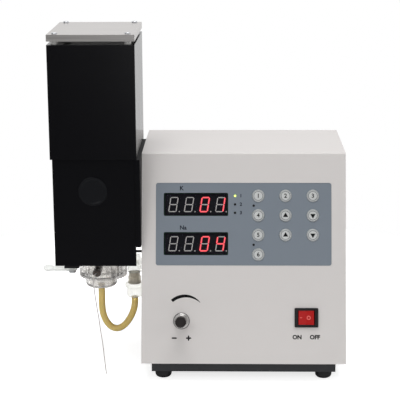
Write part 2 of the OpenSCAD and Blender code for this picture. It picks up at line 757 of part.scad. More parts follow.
inlet_flange_w = 50;
inlet_flange_h = 25;
inlet_well_w = 24.2;
inlet_well_h = 16.6;
inlet_body_l = 17;
inlet_flange_t = 2.5;
inlet_floor_t = 3;
inlet_bevel = 4;
contact_w = 2;
contact_h = 4;
contact_l = 12.4;
contact_back = 5;
contact_places = [[-7, -2], [7, -2], [0, 2]];

module contacts(z, h) {
    for (p = contact_places)
        translate([p[0] - contact_w / 2, p[1] - contact_h / 2, z]) cube([contact_w, contact_h, h]);
}

module power_inlet() color("#1b1b1d") on_rear() translate([inlet_x, cab_z + inlet_z, 0]) difference() {
    w = inlet_well_w / 2;
    h = inlet_well_h / 2;
    union() {
        translate([-inlet_flange_w / 2, -inlet_flange_h / 2, -inlet_flange_t]) linear_extrude(inlet_flange_t)
            rounded_rect(inlet_flange_w, inlet_flange_h, 4);
        translate([-inlet_body_w / 2, -inlet_body_h / 2, 0]) cube([inlet_body_w, inlet_body_h, inlet_body_l]);
    }
    translate([0, 0, -inlet_floor_t]) linear_extrude(inlet_body_l) polygon([
        [-w, -h], [w, -h], [w, h - inlet_bevel], [w - inlet_bevel, h],
        [inlet_bevel - w, h], [-w, h - inlet_bevel]]);
    for (x = [-20, 20]) translate([x, 0, -inlet_flange_t - 1]) cylinder(d = 3.4, h = inlet_flange_t + 1.5);
    contacts(0, inlet_body_l + 1);
}

module inlet_pins() color("silver") on_rear() translate([inlet_x, cab_z + inlet_z, 0])
    contacts(inlet_body_l - inlet_floor_t - contact_l, contact_l + inlet_floor_t + contact_back);

// ---------- Inside the cabinet ----------

core_w = 66;
core_d = 30;
core_h = 56;
coil_w = 40;
coil_d = 46;
coil_h = 34;
core_x = 30;
core_y = 160;

module core_blank() {
    translate([core_x, core_y - core_d / 2, foot_h + sheet]) cube([core_w, core_d, core_h]);
}

module coil_blank() {
    translate([core_x + (core_w - coil_w) / 2, core_y - coil_d / 2, foot_h + sheet + (core_h - coil_h) / 2])
        cube([coil_w, coil_d, coil_h]);
}

module transformer_core() color("dimgray") difference() {
    core_blank();
    coil_blank();
}

module transformer_coil() color("peru") coil_blank();

chip_w = 26;
chip_h = 3;
plug_w = 30;
plug_d = 12;
plug_h = 9;
capacitor_d = 12;
capacitor_h = 20;
sink_w = 74;
sink_d = 20;
sink_h = 14;

module main_board() color("darkgreen") translate([board_x, board_y, foot_h + sheet + post_h]) {
    difference() {
        cube([board_w, board_l, board_t]);
        for (p = board_holes) translate([p[0], p[1], -1]) cylinder(d = 3.4, h = board_t + 2);
    }
    // Processor, plug, three capacitors and the power supply's heat sink
    translate([board_w * 0.18, board_l * 0.15, board_t]) cube([chip_w, chip_w, chip_h]);
    translate([board_w * 0.55, board_l * 0.15, board_t]) cube([plug_w, plug_d, plug_h]);
    for (i = [-1:1]) translate([board_w / 2 + i * capacitor_d * 1.5, board_l * 0.77, board_t])
        cylinder(d = capacitor_d, h = capacitor_h);
    translate([(board_w - sink_w) / 2, board_l / 2, board_t]) cube([sink_w, sink_d, sink_h]);
}

valve_back = valve_body_l + stub_l;
side_port = valve_body_d / 2 + stub_l;
// The two ports of the valve in the cabinet's own axes
gas_port = [valve_x, valve_v * sin(lean) + valve_back * cos(lean),
            cab_z + valve_v * cos(lean) - valve_back * sin(lean)];
fuel_port = [valve_x - side_port, valve_v * sin(lean) + valve_port_depth * cos(lean),
             cab_z + valve_v * cos(lean) - valve_port_depth * sin(lean)];
nipple_stub_y = cab_d - nipple_inside;

module gas_line() color("#303034") tube([
    [nipple_x, nipple_stub_y, cab_z + gas_z], [nipple_x, nipple_stub_y - 12, cab_z + gas_z],
    [nipple_x, nipple_stub_y - 40, cab_z + gas_z], [nipple_x + 2, nipple_stub_y - 80, cab_z + gas_z],
    gas_port + [-4, 50, 8], gas_port + [0, 18 * cos(lean), -18 * sin(lean)],
    gas_port + [0, 8 * cos(lean), -8 * sin(lean)], gas_port], gas_d, 10);

neb_z = tower_z - neb_drop;
neb_y = axis_y - chamber_d / 2;
neb_nose = neb_y - neb_out;
neb_x = axis_x - 0.7;
air_port_y = neb_y - 9;
air_port_z = neb_z + neb_d / 2 + 4;

module air_line() color("#d8d8d4") tube([
    [nipple_x, nipple_stub_y, cab_z + air_z], [nipple_x, nipple_stub_y - 12, cab_z + air_z],
    [nipple_x - 3, nipple_stub_y - 30, cab_z + air_z + 10], [nipple_x - 14, nipple_stub_y - 56, bridge_z + 12],
    [12, axis_y + 42, bridge_z + 18], [-2, axis_y + 38, bridge_z + 18], [-14, axis_y + 30, bridge_z + 12],
    [step_x - 5, axis_y + 22, bridge_z + 5.5], [step_x - 5.5, axis_y + 8, bridge_z - 1],
    [step_x - 5.5, axis_y - 14, tower_z + 24], [-27, axis_y - 34, tower_z + 20],
    [-41, air_port_y + 2, tower_z + 19], [neb_x + 8, air_port_y, tower_z + 16],
    [neb_x + 2, air_port_y, tower_z + 11], [neb_x, air_port_y, tower_z + 5], [neb_x, air_port_y, air_port_z]],
    air_d, 10);

fuel_port_x = axis_x + chamber_neck_d / 2;

module fuel_line() color("#151517") tube([
    fuel_port, fuel_port + [-6, 0, 0], fuel_port + [-14, 2, 10], [14, fuel_y, fuel_z - 30],
    [13, fuel_y, fuel_z - 14], [10, fuel_y, fuel_z - 4], [5, fuel_y, fuel_z], [0, fuel_y, fuel_z],
    [-8, fuel_y, fuel_z], [step_x, fuel_y, fuel_z], [step_x - 4, fuel_y + 1, fuel_z],
    [step_x - 7.5, fuel_y + 7, fuel_z], [step_x - 8.5, axis_y - 22, fuel_z],
    [step_x - 8.5, axis_y - 9, tower_z + 14], [step_x - 8.8, axis_y - 3, tower_z + 15],
    [fuel_port_x + 3.2, axis_y - 0.4, tower_z + 15],
    [fuel_port_x, axis_y, tower_z + 15]],
    fuel_d, 8);

// ---------- Tower ----------

cover_x = -tower_gap - cover_w;
cover_y = tower_y + hood_over;
bridge_y = tower_y + bridge_inset;
bridge_d = hood_d - hood_over - 2 * bridge_inset;
lever_t = 4;
arm_w = 10;
grip_t = 7;
grip_round = 3;
grip_low = 0.6;
view_ring = 6;
view_ring_t = 0.8;
lever_bracket_h = lever_drop - lever_t - free_gap;
lever_x = axis_x - pivot_x;
lever_y = axis_y - pivot_y;
bracket_w = 20;
bracket_d = 15;
lever_screw_d = 5;
lever_thread_d = 4;
lever_thread_l = 9;
base_t = 2;

module tower_base() color("#161618") difference() {
    union() {
        translate([cover_x + skin + fit_gap, cover_y + skin + fit_gap, tower_z])
            cube([cover_w - step_w - 2 * skin - 2 * fit_gap, cover_d - 2 * skin - 2 * fit_gap, base_t]);
        // Bracket for the lever
        translate([lever_x - bracket_w / 2, lever_y - bracket_d / 2, tower_z - lever_bracket_h])
            cube([bracket_w, bracket_d, lever_bracket_h + 0.5]);
    }
    translate([axis_x, axis_y, tower_z - 1]) cylinder(d = chamber_neck_d + 2 * fit_gap, h = 4);
    translate([neb_x, air_port_y, tower_z - 1]) cylinder(d = air_d + 1, h = 4);
    translate([lever_x, lever_y, tower_z - lever_bracket_h - 1])
        cylinder(d = lever_thread_d + 2 * run_gap, h = lever_thread_l + 3);
}

module lower_cover() color("#161618") difference() {
    union() {
        translate([cover_x, cover_y, tower_z]) box_tube(cover_w, cover_d, cover_h + hood_lap, skin);
        // Walls of the step
        translate([step_x - skin, cover_y, tower_z]) cube([step_w + skin, cover_d, step_h + skin]);
    }
    // The step, open to the right, the back and the bottom
    translate([step_x, cover_y + skin, tower_z - 1]) cube([step_w + 1, cover_d, step_h + 1]);
    // Viewing hole
    translate([axis_x - view_shift, cover_y - 1, view_height]) rotate([-90, 0, 0])
        cylinder(d = view_d - view_ring, h = skin + 2);
    light_port(-tower_gap - skin - 1, skin + 2);
    translate([step_x - skin - 1, fuel_y, fuel_z]) rotate([0, 90, 0])
        cylinder(d = fuel_d + 2 * fit_gap, h = skin + 2);
}

module view_window() color("#26303a")
    translate([axis_x - view_shift, cover_y, view_height]) rotate([-90, 0, 0]) {
        pane_d = view_d - view_ring - 2 * fit_gap;
        translate([0, 0, -0.5]) cylinder(d = pane_d, h = 2);
        difference() {
            translate([0, 0, -view_ring_t]) cylinder(d = view_d, h = view_ring_t);
            translate([0, 0, -1]) cylinder(d = pane_d, h = 2);
        }
    }

chimney_hole_d = glass_d + 10;

module hood() color("#161618") {
    translate([cover_x - hood_over, tower_y, hood_z]) box_tube(hood_w, hood_d, hood_h - skin, skin);
    difference() {
        translate([cover_x - hood_over, tower_y, hood_top - skin]) cube([hood_w, hood_d, skin]);
        translate([axis_x, axis_y, hood_top - skin - 1]) cylinder(d = chimney_hole_d, h = skin + 2);
        lid_places() translate([0, 0, hood_top - skin - 1]) cylinder(d = lid_screw_d, h = skin + 2);
    }
}

lid_screw_d = 4;
lid_head_d = 8;
lid_head_h = 2.1;
standoff_d = 9;

module lid_places() {
    for (x = [-1, 1], y = [-1, 1])
        translate([axis_x + x * (hood_w / 2 - lid_inset), axis_y + y * (hood_d / 2 - lid_inset), 0]) children();
}

module lid() color("silver") {
    translate([cover_x - hood_over, tower_y, lid_z]) box_tube(hood_w, hood_d, lid_h - skin, skin);
    difference() {
        translate([cover_x - hood_over, tower_y, lid_top - skin]) cube([hood_w, hood_d, skin]);
        lid_places() translate([0, 0, lid_top - skin - 1])
            cylinder(d = lid_screw_d + 2 * fit_gap, h = skin + 2);
    }
}

module lid_standoffs() color("silver") lid_places() translate([0, 0, hood_top]) difference() {
    cylinder(d = standoff_d, h = lid_top - skin - hood_top);
    translate([0, 0, -1]) cylinder(d = lid_screw_d, h = lid_top - hood_top + 2);
}

module lid_screws() color("silver") lid_places() translate([0, 0, lid_top])
    screw(lid_head_d, lid_head_h, lid_screw_d - 2 * fit_gap, lid_top - hood_top + skin + 3);

// Hollow box between the tower and the cabinet's side, open only at the light port
module bridge_housing() color("#161618") difference() {
    translate([-tower_gap, bridge_y, bridge_z]) cube([tower_gap, bridge_d, bridge_h]);
    translate([skin - tower_gap, bridge_y + skin, bridge_z + skin])
        cube([tower_gap - 2 * skin, bridge_d - 2 * skin, bridge_h - 2 * skin]);
    light_port(-tower_gap - 1, tower_gap + 2);
}

// ---------- Burner and mixing chamber ----------

deck_d = 76;

module burner_head() color("lightsteelblue") translate([axis_x, axis_y, neck_top]) difference() {
    union() {
        cylinder(d = deck_d, h = deck_t);
        translate([0, 0, deck_t]) cylinder(d = burner_d - 8, h = 6);
        translate([0, 0, deck_t + 6]) cylinder(d = burner_d, h = burner_h - 6);
    }
    // Mixture bore, closed by the top plate with its ring of gas holes
    translate([0, 0, -1]) cylinder(d = burner_d - 14, h = deck_t + burner_h - 2);
    translate([0, 0, deck_t + burner_h - 4]) {
        cylinder(d = 2, h = 5);
        for (i = [0:11]) rotate([0, 0, i * 30]) translate([4.4, 0, 0]) cylinder(d = 1.6, h = 5);
    }
}

module chimney_glass() color([0.8, 0.9, 0.95, 0.4]) translate([axis_x, axis_y, burner_z]) difference() {
    cylinder(d = glass_d, h = glass_h);
    translate([0, 0, -1]) cylinder(d = glass_d - 2 * glass_t, h = glass_h + 2);
}

rib_n = 30;
rib_d = 3;
drain_bore = 9;
collar_floor = 6;

// Clear chamber: a fluted collar under the tower and a neck that carries the burner
module mixing_chamber() color([0.8, 0.8, 0.8, 0.5]) difference() {
    translate([axis_x, axis_y, 0]) union() {
        translate([collar_shift, 0, collar_z]) cylinder(d = chamber_d, h = chamber_h);
        translate([0, 0, tower_z]) cylinder(d = chamber_neck_d, h = chamber_neck_h);
    }
    translate([axis_x, axis_y, 0]) {
        translate([0, 0, collar_z + collar_floor])
            cylinder(d = chamber_neck_d - 2 * clear_wall, h = chamber_h + chamber_neck_h);
        translate([0, 0, collar_z - 1]) cylinder(d = cup_d - 2 * clear_wall - 6, h = collar_floor + 2);
        translate([collar_shift, 0, 0])
            for (i = [0:rib_n - 1]) rotate([0, 0, (i + 0.5) * 360 / rib_n])
                translate([chamber_d / 2 + 0.6, 0, collar_z - 1]) cylinder(d = rib_d, h = chamber_h - 7);
    }
    translate([neb_x, neb_y - 2, neb_z]) rotate([-90, 0, 0]) cylinder(d = neb_d + 2 * run_gap, h = 22);
}

cup_fillet = 5;

module chamber_cup() color([0.8, 0.8, 0.8, 0.5]) translate([axis_x, axis_y, cup_z]) difference() {
    rotate_extrude() polygon(concat(
        [[0, 0]], arc([cup_d / 2 - cup_fillet, cup_fillet], cup_fillet, -90, 0, 8),
        [[cup_d / 2, cup_h], [0, cup_h]]));
    translate([0, 0, clear_wall]) cylinder(d = cup_d - 2 * clear_wall - 2, h = cup_h);
    translate([0, 0, -1]) cylinder(d = drain_bore / 2, h = clear_wall + 2);
}

knurl_n = 16;

// Nebulizer: a knurled plug in the collar's front, with the air port on its top
module nebulizer() color("#2d1d18") difference() {
    union() {
        translate([neb_x, neb_nose, neb_z]) rotate([-90, 0, 0]) {
            cylinder(d = neb_d - 3.5, h = 4);
            translate([0, 0, 3]) cylinder(d = neb_d, h = neb_out + 14);
        }
        translate([neb_x, air_port_y, neb_z]) cylinder(d = air_d, h = air_port_z - neb_z);
    }
    for (i = [0:knurl_n - 1]) translate([neb_x, neb_nose, neb_z]) rotate([-90, 0, 0])
        rotate([0, 0, (i + 0.5) * 360 / knurl_n]) translate([neb_d / 2 + 0.3, 0, 2]) cylinder(d = 1.4, h = 8);
    translate([neb_x, neb_nose - 1, neb_z]) rotate([-90, 0, 0]) cylinder(d = 2, h = neb_out + 30);
}

// ---------- Drain trap ----------

trap_ring_n = 3;
trap_ring_pitch = 3.2;
trap_outlet_z = trap_top - 18;

module trap_body() color("whitesmoke") {
    translate([trap_x, axis_y, 0]) rotate_extrude() {
        r = trap_d / 2;
        low = trap_top - trap_h;
        rings_end = low + trap_ring_pitch * trap_ring_n;
        polygon(concat(
            [[0, low], [r - 1, low]],
            [for (i = [0:trap_ring_n - 1]) let(z = low + trap_ring_pitch * i)
                each [[r - 1, z + 0.4], [r, z + 0.8], [r, z + 2.4], [r - 1, z + 2.8]]],
            [[r - 1, rings_end + 0.4], [r - 0.4, rings_end + 1],
             [r - 0.4, trap_top - 1], [r - 1.4, trap_top], [0, trap_top]]));
    }
    // Arm that is clamped in the cabinet's side
    translate([trap_x + 2, axis_y, trap_arm_z]) rotate([0, 90, 0])
        cylinder(d = trap_arm_d, h = trap_gap - 2 + sheet + 6);
    translate([sheet, axis_y, trap_arm_z]) rotate([0, 90, 0]) cylinder(d = trap_arm_d + 6, h = 4);
    // Waste outlet at the back, with the shoulder that the hose is pushed against
    translate([trap_x, axis_y, trap_outlet_z]) rotate([-90, 0, 0]) {
        cylinder(d = waste_d + 4, h = trap_d / 2 + waste_shoulder);
        cylinder(d = waste_d, h = trap_d / 2 + waste_shoulder + waste_l);
    }
}

waste_d = 7;
waste_l = 16;
waste_shoulder = 2;

module sight_tube() color("#a8aba0") translate([trap_x, axis_y, sight_z]) difference() {
    union() {
        cylinder(d = trap_d - 1.6, h = sight_h - 6);
        translate([0, 0, sight_h - 6]) cylinder(d = trap_d - 4, h = 6);
    }
    translate([0, 0, 3]) cylinder(d = trap_d - 8, h = sight_h);
}

nut_rib_n = 12;
trap_flange_h = 5;

module trap_nut() color("whitesmoke") translate([trap_x, axis_y, nut_z]) difference() {
    union() {
        rotate_extrude() polygon(concat(
            [[0, 0]], arc([trap_d / 2 + 1 - 3, 3], 3, -90, 0, 5),
            [[trap_d / 2 + 1, trap_nut_h - trap_flange_h], [0, trap_nut_h - trap_flange_h]]));
        translate([0, 0, trap_nut_h - trap_flange_h]) cylinder(d = trap_flange_d, h = trap_flange_h);
    }
    for (i = [0:nut_rib_n - 1]) rotate([0, 0, (i + 0.5) * 360 / nut_rib_n])
        translate([trap_d / 2 + 1.6, 0, 3]) cylinder(d = 2.2, h = trap_nut_h - 10);
}

// ---------- Lever ----------

module shutter_lever() color("lightgray") translate([lever_x, lever_y, lever_z]) difference() {
    round_x = grip_d / 2 - grip_round;
    union() {
        cylinder(d = 13, h = lever_t);
        translate([-lever_l, -arm_w / 2, 0]) cube([lever_l, arm_w, lever_t]);
        translate([-lever_l, 0, 0]) rotate_extrude() polygon(concat(
            [[0, -grip_low]], arc([round_x, grip_round - grip_low], grip_round, -90, 0, 4),
            arc([round_x, grip_t - grip_low - grip_round], grip_round, 0, 90, 4),
            [[0, grip_t - grip_low]]));
    }
    translate([0, 0, -2]) cylinder(d = lever_screw_d + 2 * run_gap, h = lever_t + 4);
}

screw_head_d = 9.5;
screw_head_h = 3;

// Shoulder screw that the lever turns on
module lever_screw() color("silver") translate([lever_x, lever_y, 0]) {
    under = lever_z - free_gap;
    translate([0, 0, under - screw_head_h]) cylinder(d = screw_head_d, h = screw_head_h);
    translate([0, 0, under]) cylinder(d = lever_screw_d, h = tower_z - lever_bracket_h - under);
    translate([0, 0, tower_z - lever_bracket_h]) cylinder(d = lever_thread_d, h = lever_thread_l);
}

// ---------- Optics ----------

optic_z = view_height;
lens_d = 26;
barrel_d = 32;
barrel_x = 14;
holder_x = 34;
holder_w = 14;
holder_d = 42;
holder_h = 36;
shelf_t = 3;
filter_pitch = 20;
filter_d = 12;
detector_h = 4;

// Short barrel with the collecting lens, on the cabinet's side of the bridge
module lens_tube() color([0.7, 0.8, 0.85, 0.6]) translate([barrel_x, axis_y, optic_z]) rotate([0, 90, 0]) {
    difference() {
        cylinder(d = barrel_d, h = holder_x - barrel_x);
        translate([0, 0, -1]) cylinder(d = lens_d, h = holder_x - barrel_x + 2);
    }
    translate([0, 0, 6]) cylinder(d = lens_d, h = 4);
}

// Block with the two interference filters, on a shelf from the cabinet's side
module filter_holder() color("#3a3a3e") {
    holder_y = axis_y - holder_d / 2;
    holder_z = optic_z - holder_h / 2;
    shelf_z = bridge_z - shelf_t - 1;
    difference() {
        translate([holder_x, holder_y, holder_z]) cube([holder_w, holder_d, holder_h]);
        for (y = [-1, 1]) translate([holder_x - 1, axis_y + y * filter_pitch / 2, optic_z]) rotate([0, 90, 0])
            cylinder(d = filter_d, h = holder_w + 2);
    }
    translate([holder_x, holder_y, shelf_z]) cube([4, holder_d, holder_z - shelf_z]);
    translate([sheet, holder_y, shelf_z]) cube([holder_x + holder_w - sheet, holder_d, shelf_t]);
    translate([sheet, holder_y, shelf_z - 14]) cube([shelf_t, holder_d, 15]);
}

module detector_board() color("darkgreen") {
    for (y = [-1, 1])
        translate([holder_x + holder_w, axis_y + y * filter_pitch / 2, optic_z]) rotate([0, 90, 0])
            cylinder(d = filter_d + 3, h = detector_h);
    translate([holder_x + holder_w + detector_h, axis_y - holder_d / 2, optic_z - holder_h / 2])
        cube([board_t, holder_d, holder_h]);
}

// ---------- Hose and capillary ----------

module drain_hose() color("#c8a864") tube(DRAIN, drain_d, 12);

module sample_capillary() color("#d8d8d8") tube(CAPILLARY, capillary_d, 8);

// ---------- Placing ----------

// Puts the origin on the bench under the middle of the part
module place() {
    translate([-mid_x, -mid_y, 0]) children();
}

place() cabinet_shell();
place() rear_panel();
place() base_pan();
place() feet();
place() case_screws();
place() overlay_panel();
place() display_windows();
place() display_modules();
place() display_board();
place() indicator_leds();
place() key(KEY_CELLS[0]);  // key_1
place() key(KEY_CELLS[1]);  // key_2
place() key(KEY_CELLS[2]);  // key_3
place() key(KEY_CELLS[3]);  // key_4
place() key(KEY_CELLS[4]);  // key_5
place() key(KEY_CELLS[5]);  // key_6
place() key(KEY_CELLS[6]);  // key_7
place() key(KEY_CELLS[7]);  // key_8
place() key(KEY_CELLS[8]);  // key_9
place() key(KEY_CELLS[9]);  // key_10
place() switch_housing();
place() switch_rocker();
place() valve_body();
place() valve_nut();
place() valve_spindle();
place() valve_knob();
place() valve_needle();
place() gas_inlet();
place() air_inlet();
place() power_inlet();
place() inlet_pins();
place() transformer_core();
place() transformer_coil();
place() main_board();
place() gas_line();
place() air_line();
place() fuel_line();
place() tower_base();
place() lower_cover();
place() view_window();
place() hood();
place() lid();
place() lid_standoffs();
place() lid_screws();
place() bridge_housing();
place() chimney_glass();
place() burner_head();
place() mixing_chamber();
place() chamber_cup();
place() nebulizer();
place() trap_body();
place() sight_tube();
place() trap_nut();
place() shutter_lever();
place() lever_screw();
place() lens_tube();
place() filter_holder();
place() detector_board();
place() drain_hose();
place() sample_capillary();
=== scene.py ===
import math

import bmesh
import bpy
from bpy.props import FloatProperty, FloatVectorProperty, IntProperty, PointerProperty
from mathutils import Matrix, Vector


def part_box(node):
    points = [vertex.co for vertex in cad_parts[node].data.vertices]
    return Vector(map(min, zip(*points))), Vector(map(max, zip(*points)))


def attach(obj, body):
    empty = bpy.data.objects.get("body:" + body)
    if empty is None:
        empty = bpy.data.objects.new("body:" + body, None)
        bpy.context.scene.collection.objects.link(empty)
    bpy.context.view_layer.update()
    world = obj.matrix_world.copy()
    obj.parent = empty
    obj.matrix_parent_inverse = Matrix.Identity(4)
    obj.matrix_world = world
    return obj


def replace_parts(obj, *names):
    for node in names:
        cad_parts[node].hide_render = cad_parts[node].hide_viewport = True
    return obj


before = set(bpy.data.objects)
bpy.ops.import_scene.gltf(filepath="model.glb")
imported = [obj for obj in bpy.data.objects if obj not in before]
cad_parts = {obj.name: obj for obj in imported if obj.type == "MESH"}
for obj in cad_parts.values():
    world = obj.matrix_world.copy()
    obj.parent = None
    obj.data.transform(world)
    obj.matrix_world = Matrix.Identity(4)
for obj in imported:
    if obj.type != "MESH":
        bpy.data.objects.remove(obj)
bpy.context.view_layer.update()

bl_info = {
    "name": "Flame photometer looks",
    "version": (1, 0, 0),
    "blender": (4, 5, 0),
    "location": "View3D > Sidebar > Photometer",
    "description": "Dresses the packed flame photometer with finishes, printing and hoses",
    "category": "Object",
}

MM = 0.001


def box_mm(node):
    """The lowest and the highest corner of a CAD node, in millimetres."""
    return [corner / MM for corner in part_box(node)]


# Places are given from the lower left front edge of the cabinet's sheet metal
SHELL_LOW = box_mm("cabinet_shell")[0]
ORIGIN = Vector((SHELL_LOW.x, SHELL_LOW.y, 0))
SHEET_FOOT = SHELL_LOW.z
# The front's lean in degrees
LEAN = 16
# Levels behind and in front of the sloping front's plane
OVERLAY_FACE = -0.3
MODULE_FACE = -3.0
LAMP_FACE = -0.2
KEY_FACE = 0.6
NUT_FACE = 3.5
# Thickness of printing, and how much bold strokes grow to each side
PRINT = 0.03
BOLD = 0.2
SWITCH_BOLD = 1.7 * BOLD

# Places on the front: across from the cabinet's left side, and up the slope
DISPLAY_LEFT = 29.2
# Lower edges of the lower and of the upper display
DISPLAY_LOW = (143.2, 195.2)
LAMPS = ((123.7, 221.7), (123.7, 210.5), (123.7, 199.3), (148.3, 157.035), (148.3, 208.775))
VALVE = (53.0, 56.3)
SWITCH = (217.8, 61.1)
# The element signs over the displays, with their sizes
ELEMENT_SIGNS = (("K", 7.8, (52.9, 231.6)), ("Na", 7.6, (55.0, 179.4)))

# A digit: its place in the window, the step to the next one, and its own sizes
DIGIT_INSET = (6.4, 5.7)
DIGIT_PITCH = 20.75
DIGIT_W = 9.7
DIGIT_H = 18.7
DIGIT_SLANT = 0.16
SEGMENT_T = 0.06
# Shares of a segment's width: the gap at its ends, one that is dark, and the glow round it
END_SHARE = 0.35
DARK_SHARE = 0.78
GLOW_SHARE = 2
DOT_GAP = 4.5
DOT_R = 0.85
# Segments that shine for each figure, from the top clockwise and the middle last
FIGURES = {"0": "abcdef", "1": "bc", "4": "fgbc", " ": ""}
# What the lower and the upper display show
READINGS = ("  04", "  01")

KEY_MARKS = ("1", "2", "3", "4", "up", "down", "5", "up", "down", "6")
KEY_MARK_SIZE = 7.5
KEY_ARROW_R = 4.0
# Inner and outer radius of flat grey rings of painted shade, which stand for the shade in the
# grooves round a key's cap
KEY_GROOVE_SHADES = ((5.6, 6.3), (7.2, 7.6))
# Radius and height of a lamp's dome
LAMP_R = 1.45
LAMP_H = 0.75
# The first lamps have numbers, to the right of them
NUMBERED_LAMPS = 3
NUMBER_SIZE = 6.0
NUMBER_GAP = 7.7

# The rocker's swing to each side, and the slope of each half of its face
ROCKER_TIP = 10
ROCKER_SLOPE = 12.2
# Height of the rocker's middle over its pivot, the pivot's height and the middle's half width
ROCKER_MIDDLE = 1.5
ROCKER_PIVOT = 0.4
ROCKER_FLAT = 0.8
# Marks on the rocker, to the left and right of its middle
BAR_PLACE = -6.8
BAR_SIZE = (3.2, 0.9)
RING_PLACE = 3.3
RING_RADII = (1.6, 2.8)
MARK_T = 0.12
# Words below the switch, to the left and right of its middle, and their place up the slope
SWITCH_WORDS = (("ON", -12.2), ("OFF", 11.2))
SWITCH_WORD_SIZE = 7.6
SWITCH_WORDS_UP = 35.2

# The rubber washer round the valve's nut, whose dark rim also stands in for the nut's contact
# shadow, and a flat dark ring of painted shade for the hollow between nut and collar
WASHER_RADII = (9.9, 10.9)
WASHER_T = 0.5
WASHER_LEVEL = 0.3
GROOVE_SHADE_RADII = (7.6, 8.2)
# The tapered arc over the valve: its middle from the valve's, radius, angles and widths
ARC_SHIFT = (5.0, 6.05)
ARC_R = 26.9
ARC_FROM = math.radians(131.0)
ARC_TO = math.radians(43.0)
ARC_BROAD = 4.1
ARC_FINE = 0.5
# The share of the arc that stays broad, and how fast the rest runs out
ARC_STEADY = 0.35
ARC_TAPER = 1.6
# The minus and plus under the valve, to both sides of its middle and below it
SIGN_SIDE = 9.5
SIGN_DROP = 22.6
SIGN_LENGTH = 7.4
SIGN_STROKE = 2.0

# Screws: width and height of the head, width and length of the shank
LID_HEAD = 8.0
LID_HEAD_H = 2.1
LID_SHANK = 3.7
LID_SHANK_L = 12
CASE_HEAD = 7.0
CASE_HEAD_H = 2.2
CASE_SHANK = 3.9
CASE_SHANK_L = 6
# Shares of the head: its rounding, and the length, width and height of its cross
ROUNDING_SHARE = 0.6
RECESS_SHARES = (0.56, 0.13, 1.2)
# Length of the cross at its foot, as a share of its length at the top
RECESS_FOOT = 0.45
# Height of the lower row of screws on the back above the sheet metal's foot
CASE_SCREW_UP = 12
FOOT_R = 11.0
FOOT_RECESS = 7.0

# Softened edges: points this near each other are one, faces that meet at less than the first
# angle are one, and edges sharper than the second angle are rounded
WELD_DISTANCE = 0.01 * MM
FLAT_ANGLE = math.radians(0.5)
SHARP_ANGLE = math.radians(38)
# Strength and depth of a brushed streak's bump
STREAK_BUMP = (0.12, 0.1 * MM)

# The photograph's place in millimetres, its turn in radians, and its lens on a 36 mm sensor
CAMERA_PLACE = (118.3, -1649.6, 662.3)
CAMERA_PITCH = 0.245
CAMERA_YAW = -0.024
CAMERA_ROLL = -0.005
CAMERA_LENS = 119.736
CAMERA_SENSOR = 36
# Studio lamps in metres and watts: name, place, width, power and the point they face
STUDIO_LAMPS = (
    ("overhead box", (0.1, -0.25, 2.0), 1.5, 24.5, (0, 0, 0.2)),
    ("front box", (-0.9, -2.0, 1.35), 1.1, 8.5, (0.02, 0, 0.2)),
    ("right box", (1.5, -1.2, 0.9), 0.9, 3, (0.05, 0, 0.2)),
    ("low box", (0.25, -2.3, 0.3), 1.0, 3.4, (0.0, 0, 0.15)),
)
FLOOR_R = 0.7
FLOOR_GLOW = 0.75
# Strength of the white surroundings for soft light
SOFT_LIGHT = 0.35

# Routes of the drain hose and of the sample capillary
HOSE = (
    (-60.25, 102.5, 103.4), (-60.25, 102.5, 96), (-60.3, 102.5, 88), (-60.4, 102.5, 80),
    (-60.2, 102.5, 72), (-59.3, 102.5, 64), (-57.2, 102.5, 56), (-53.4, 102.5, 48.5),
    (-48.2, 102.5, 42.8), (-41.8, 102.5, 40.2), (-35.4, 102.5, 41.2), (-29.8, 102.5, 45),
    (-24.6, 102.5, 51), (-20.4, 102.5, 58), (-17.2, 102.5, 65.5), (-15.2, 102.5, 73),
    (-14.6, 102.5, 79.5), (-14.6, 102.5, 86.8),
)
CAPILLARY = (
    (-61.5, 44.7, 137), (-62.6, 42.6, 136.8), (-63.7, 41, 135.6), (-64.4, 40.2, 133.4),
    (-64.7, 39.7, 130), (-64.6, 39, 125.5), (-63.9, 38, 118), (-62.9, 37, 110),
    (-61.6, 35.8, 101), (-60, 34, 91), (-58.2, 31.8, 81), (-56.6, 29.6, 70),
    (-55.1, 27.6, 60), (-53.4, 25.4, 50), (-51.9, 23, 39), (-50.6, 20.6, 28),
    (-49.2, 17.8, 17), (-47.8, 15, 6.5),
)


# ---------- Places ----------


def at(x, y, z):
    """A point given in millimetres from the cabinet's lower left front edge."""
    return (Vector((x, y, z)) + ORIGIN) * MM


def moved(x, y, z):
    """The matrix that takes millimetres round a point to the part's own metres."""
    return Matrix.Translation(at(x, y, z)) @ Matrix.Scale(MM, 4)


def on_front(x, up, out=0.0):
    """The plane of the sloping front: X to the right, Y up the slope, Z out of it."""
    plane = moved(0, 0, SHEET_FOOT) @ Matrix.Rotation(math.radians(90 - LEAN), 4, "X")
    return plane @ Matrix.Translation((x, up, out))


def spot(node):
    """The middle of a CAD node on the sloping front: across, and up the slope."""
    low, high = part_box(node)
    middle = on_front(0, 0).inverted() @ ((low + high) / 2)
    return middle.x, middle.y


def linear(red, green, blue):
    """The linear values of a colour that is given as it shows on screen, 0 to 255."""
    return tuple(
        c / 3294.6 if c <= 10.3 else ((c / 255 + 0.055) / 1.055) ** 2.4
        for c in (red, green, blue)
    )


# ---------- Sizes and colours ----------


def colour_value(name, description, *shown):
    """A colour of the panel, given as it shows on screen."""
    return FloatVectorProperty(
        name=name, description=description, default=linear(*shown), size=3, min=0, max=1,
        subtype="COLOR",
    )


def length_value(name, description, size, least, most):
    """A length of the panel, given in millimetres."""
    return FloatProperty(
        name=name, description=description, default=size * MM, min=least * MM, max=most * MM,
        unit="LENGTH",
    )


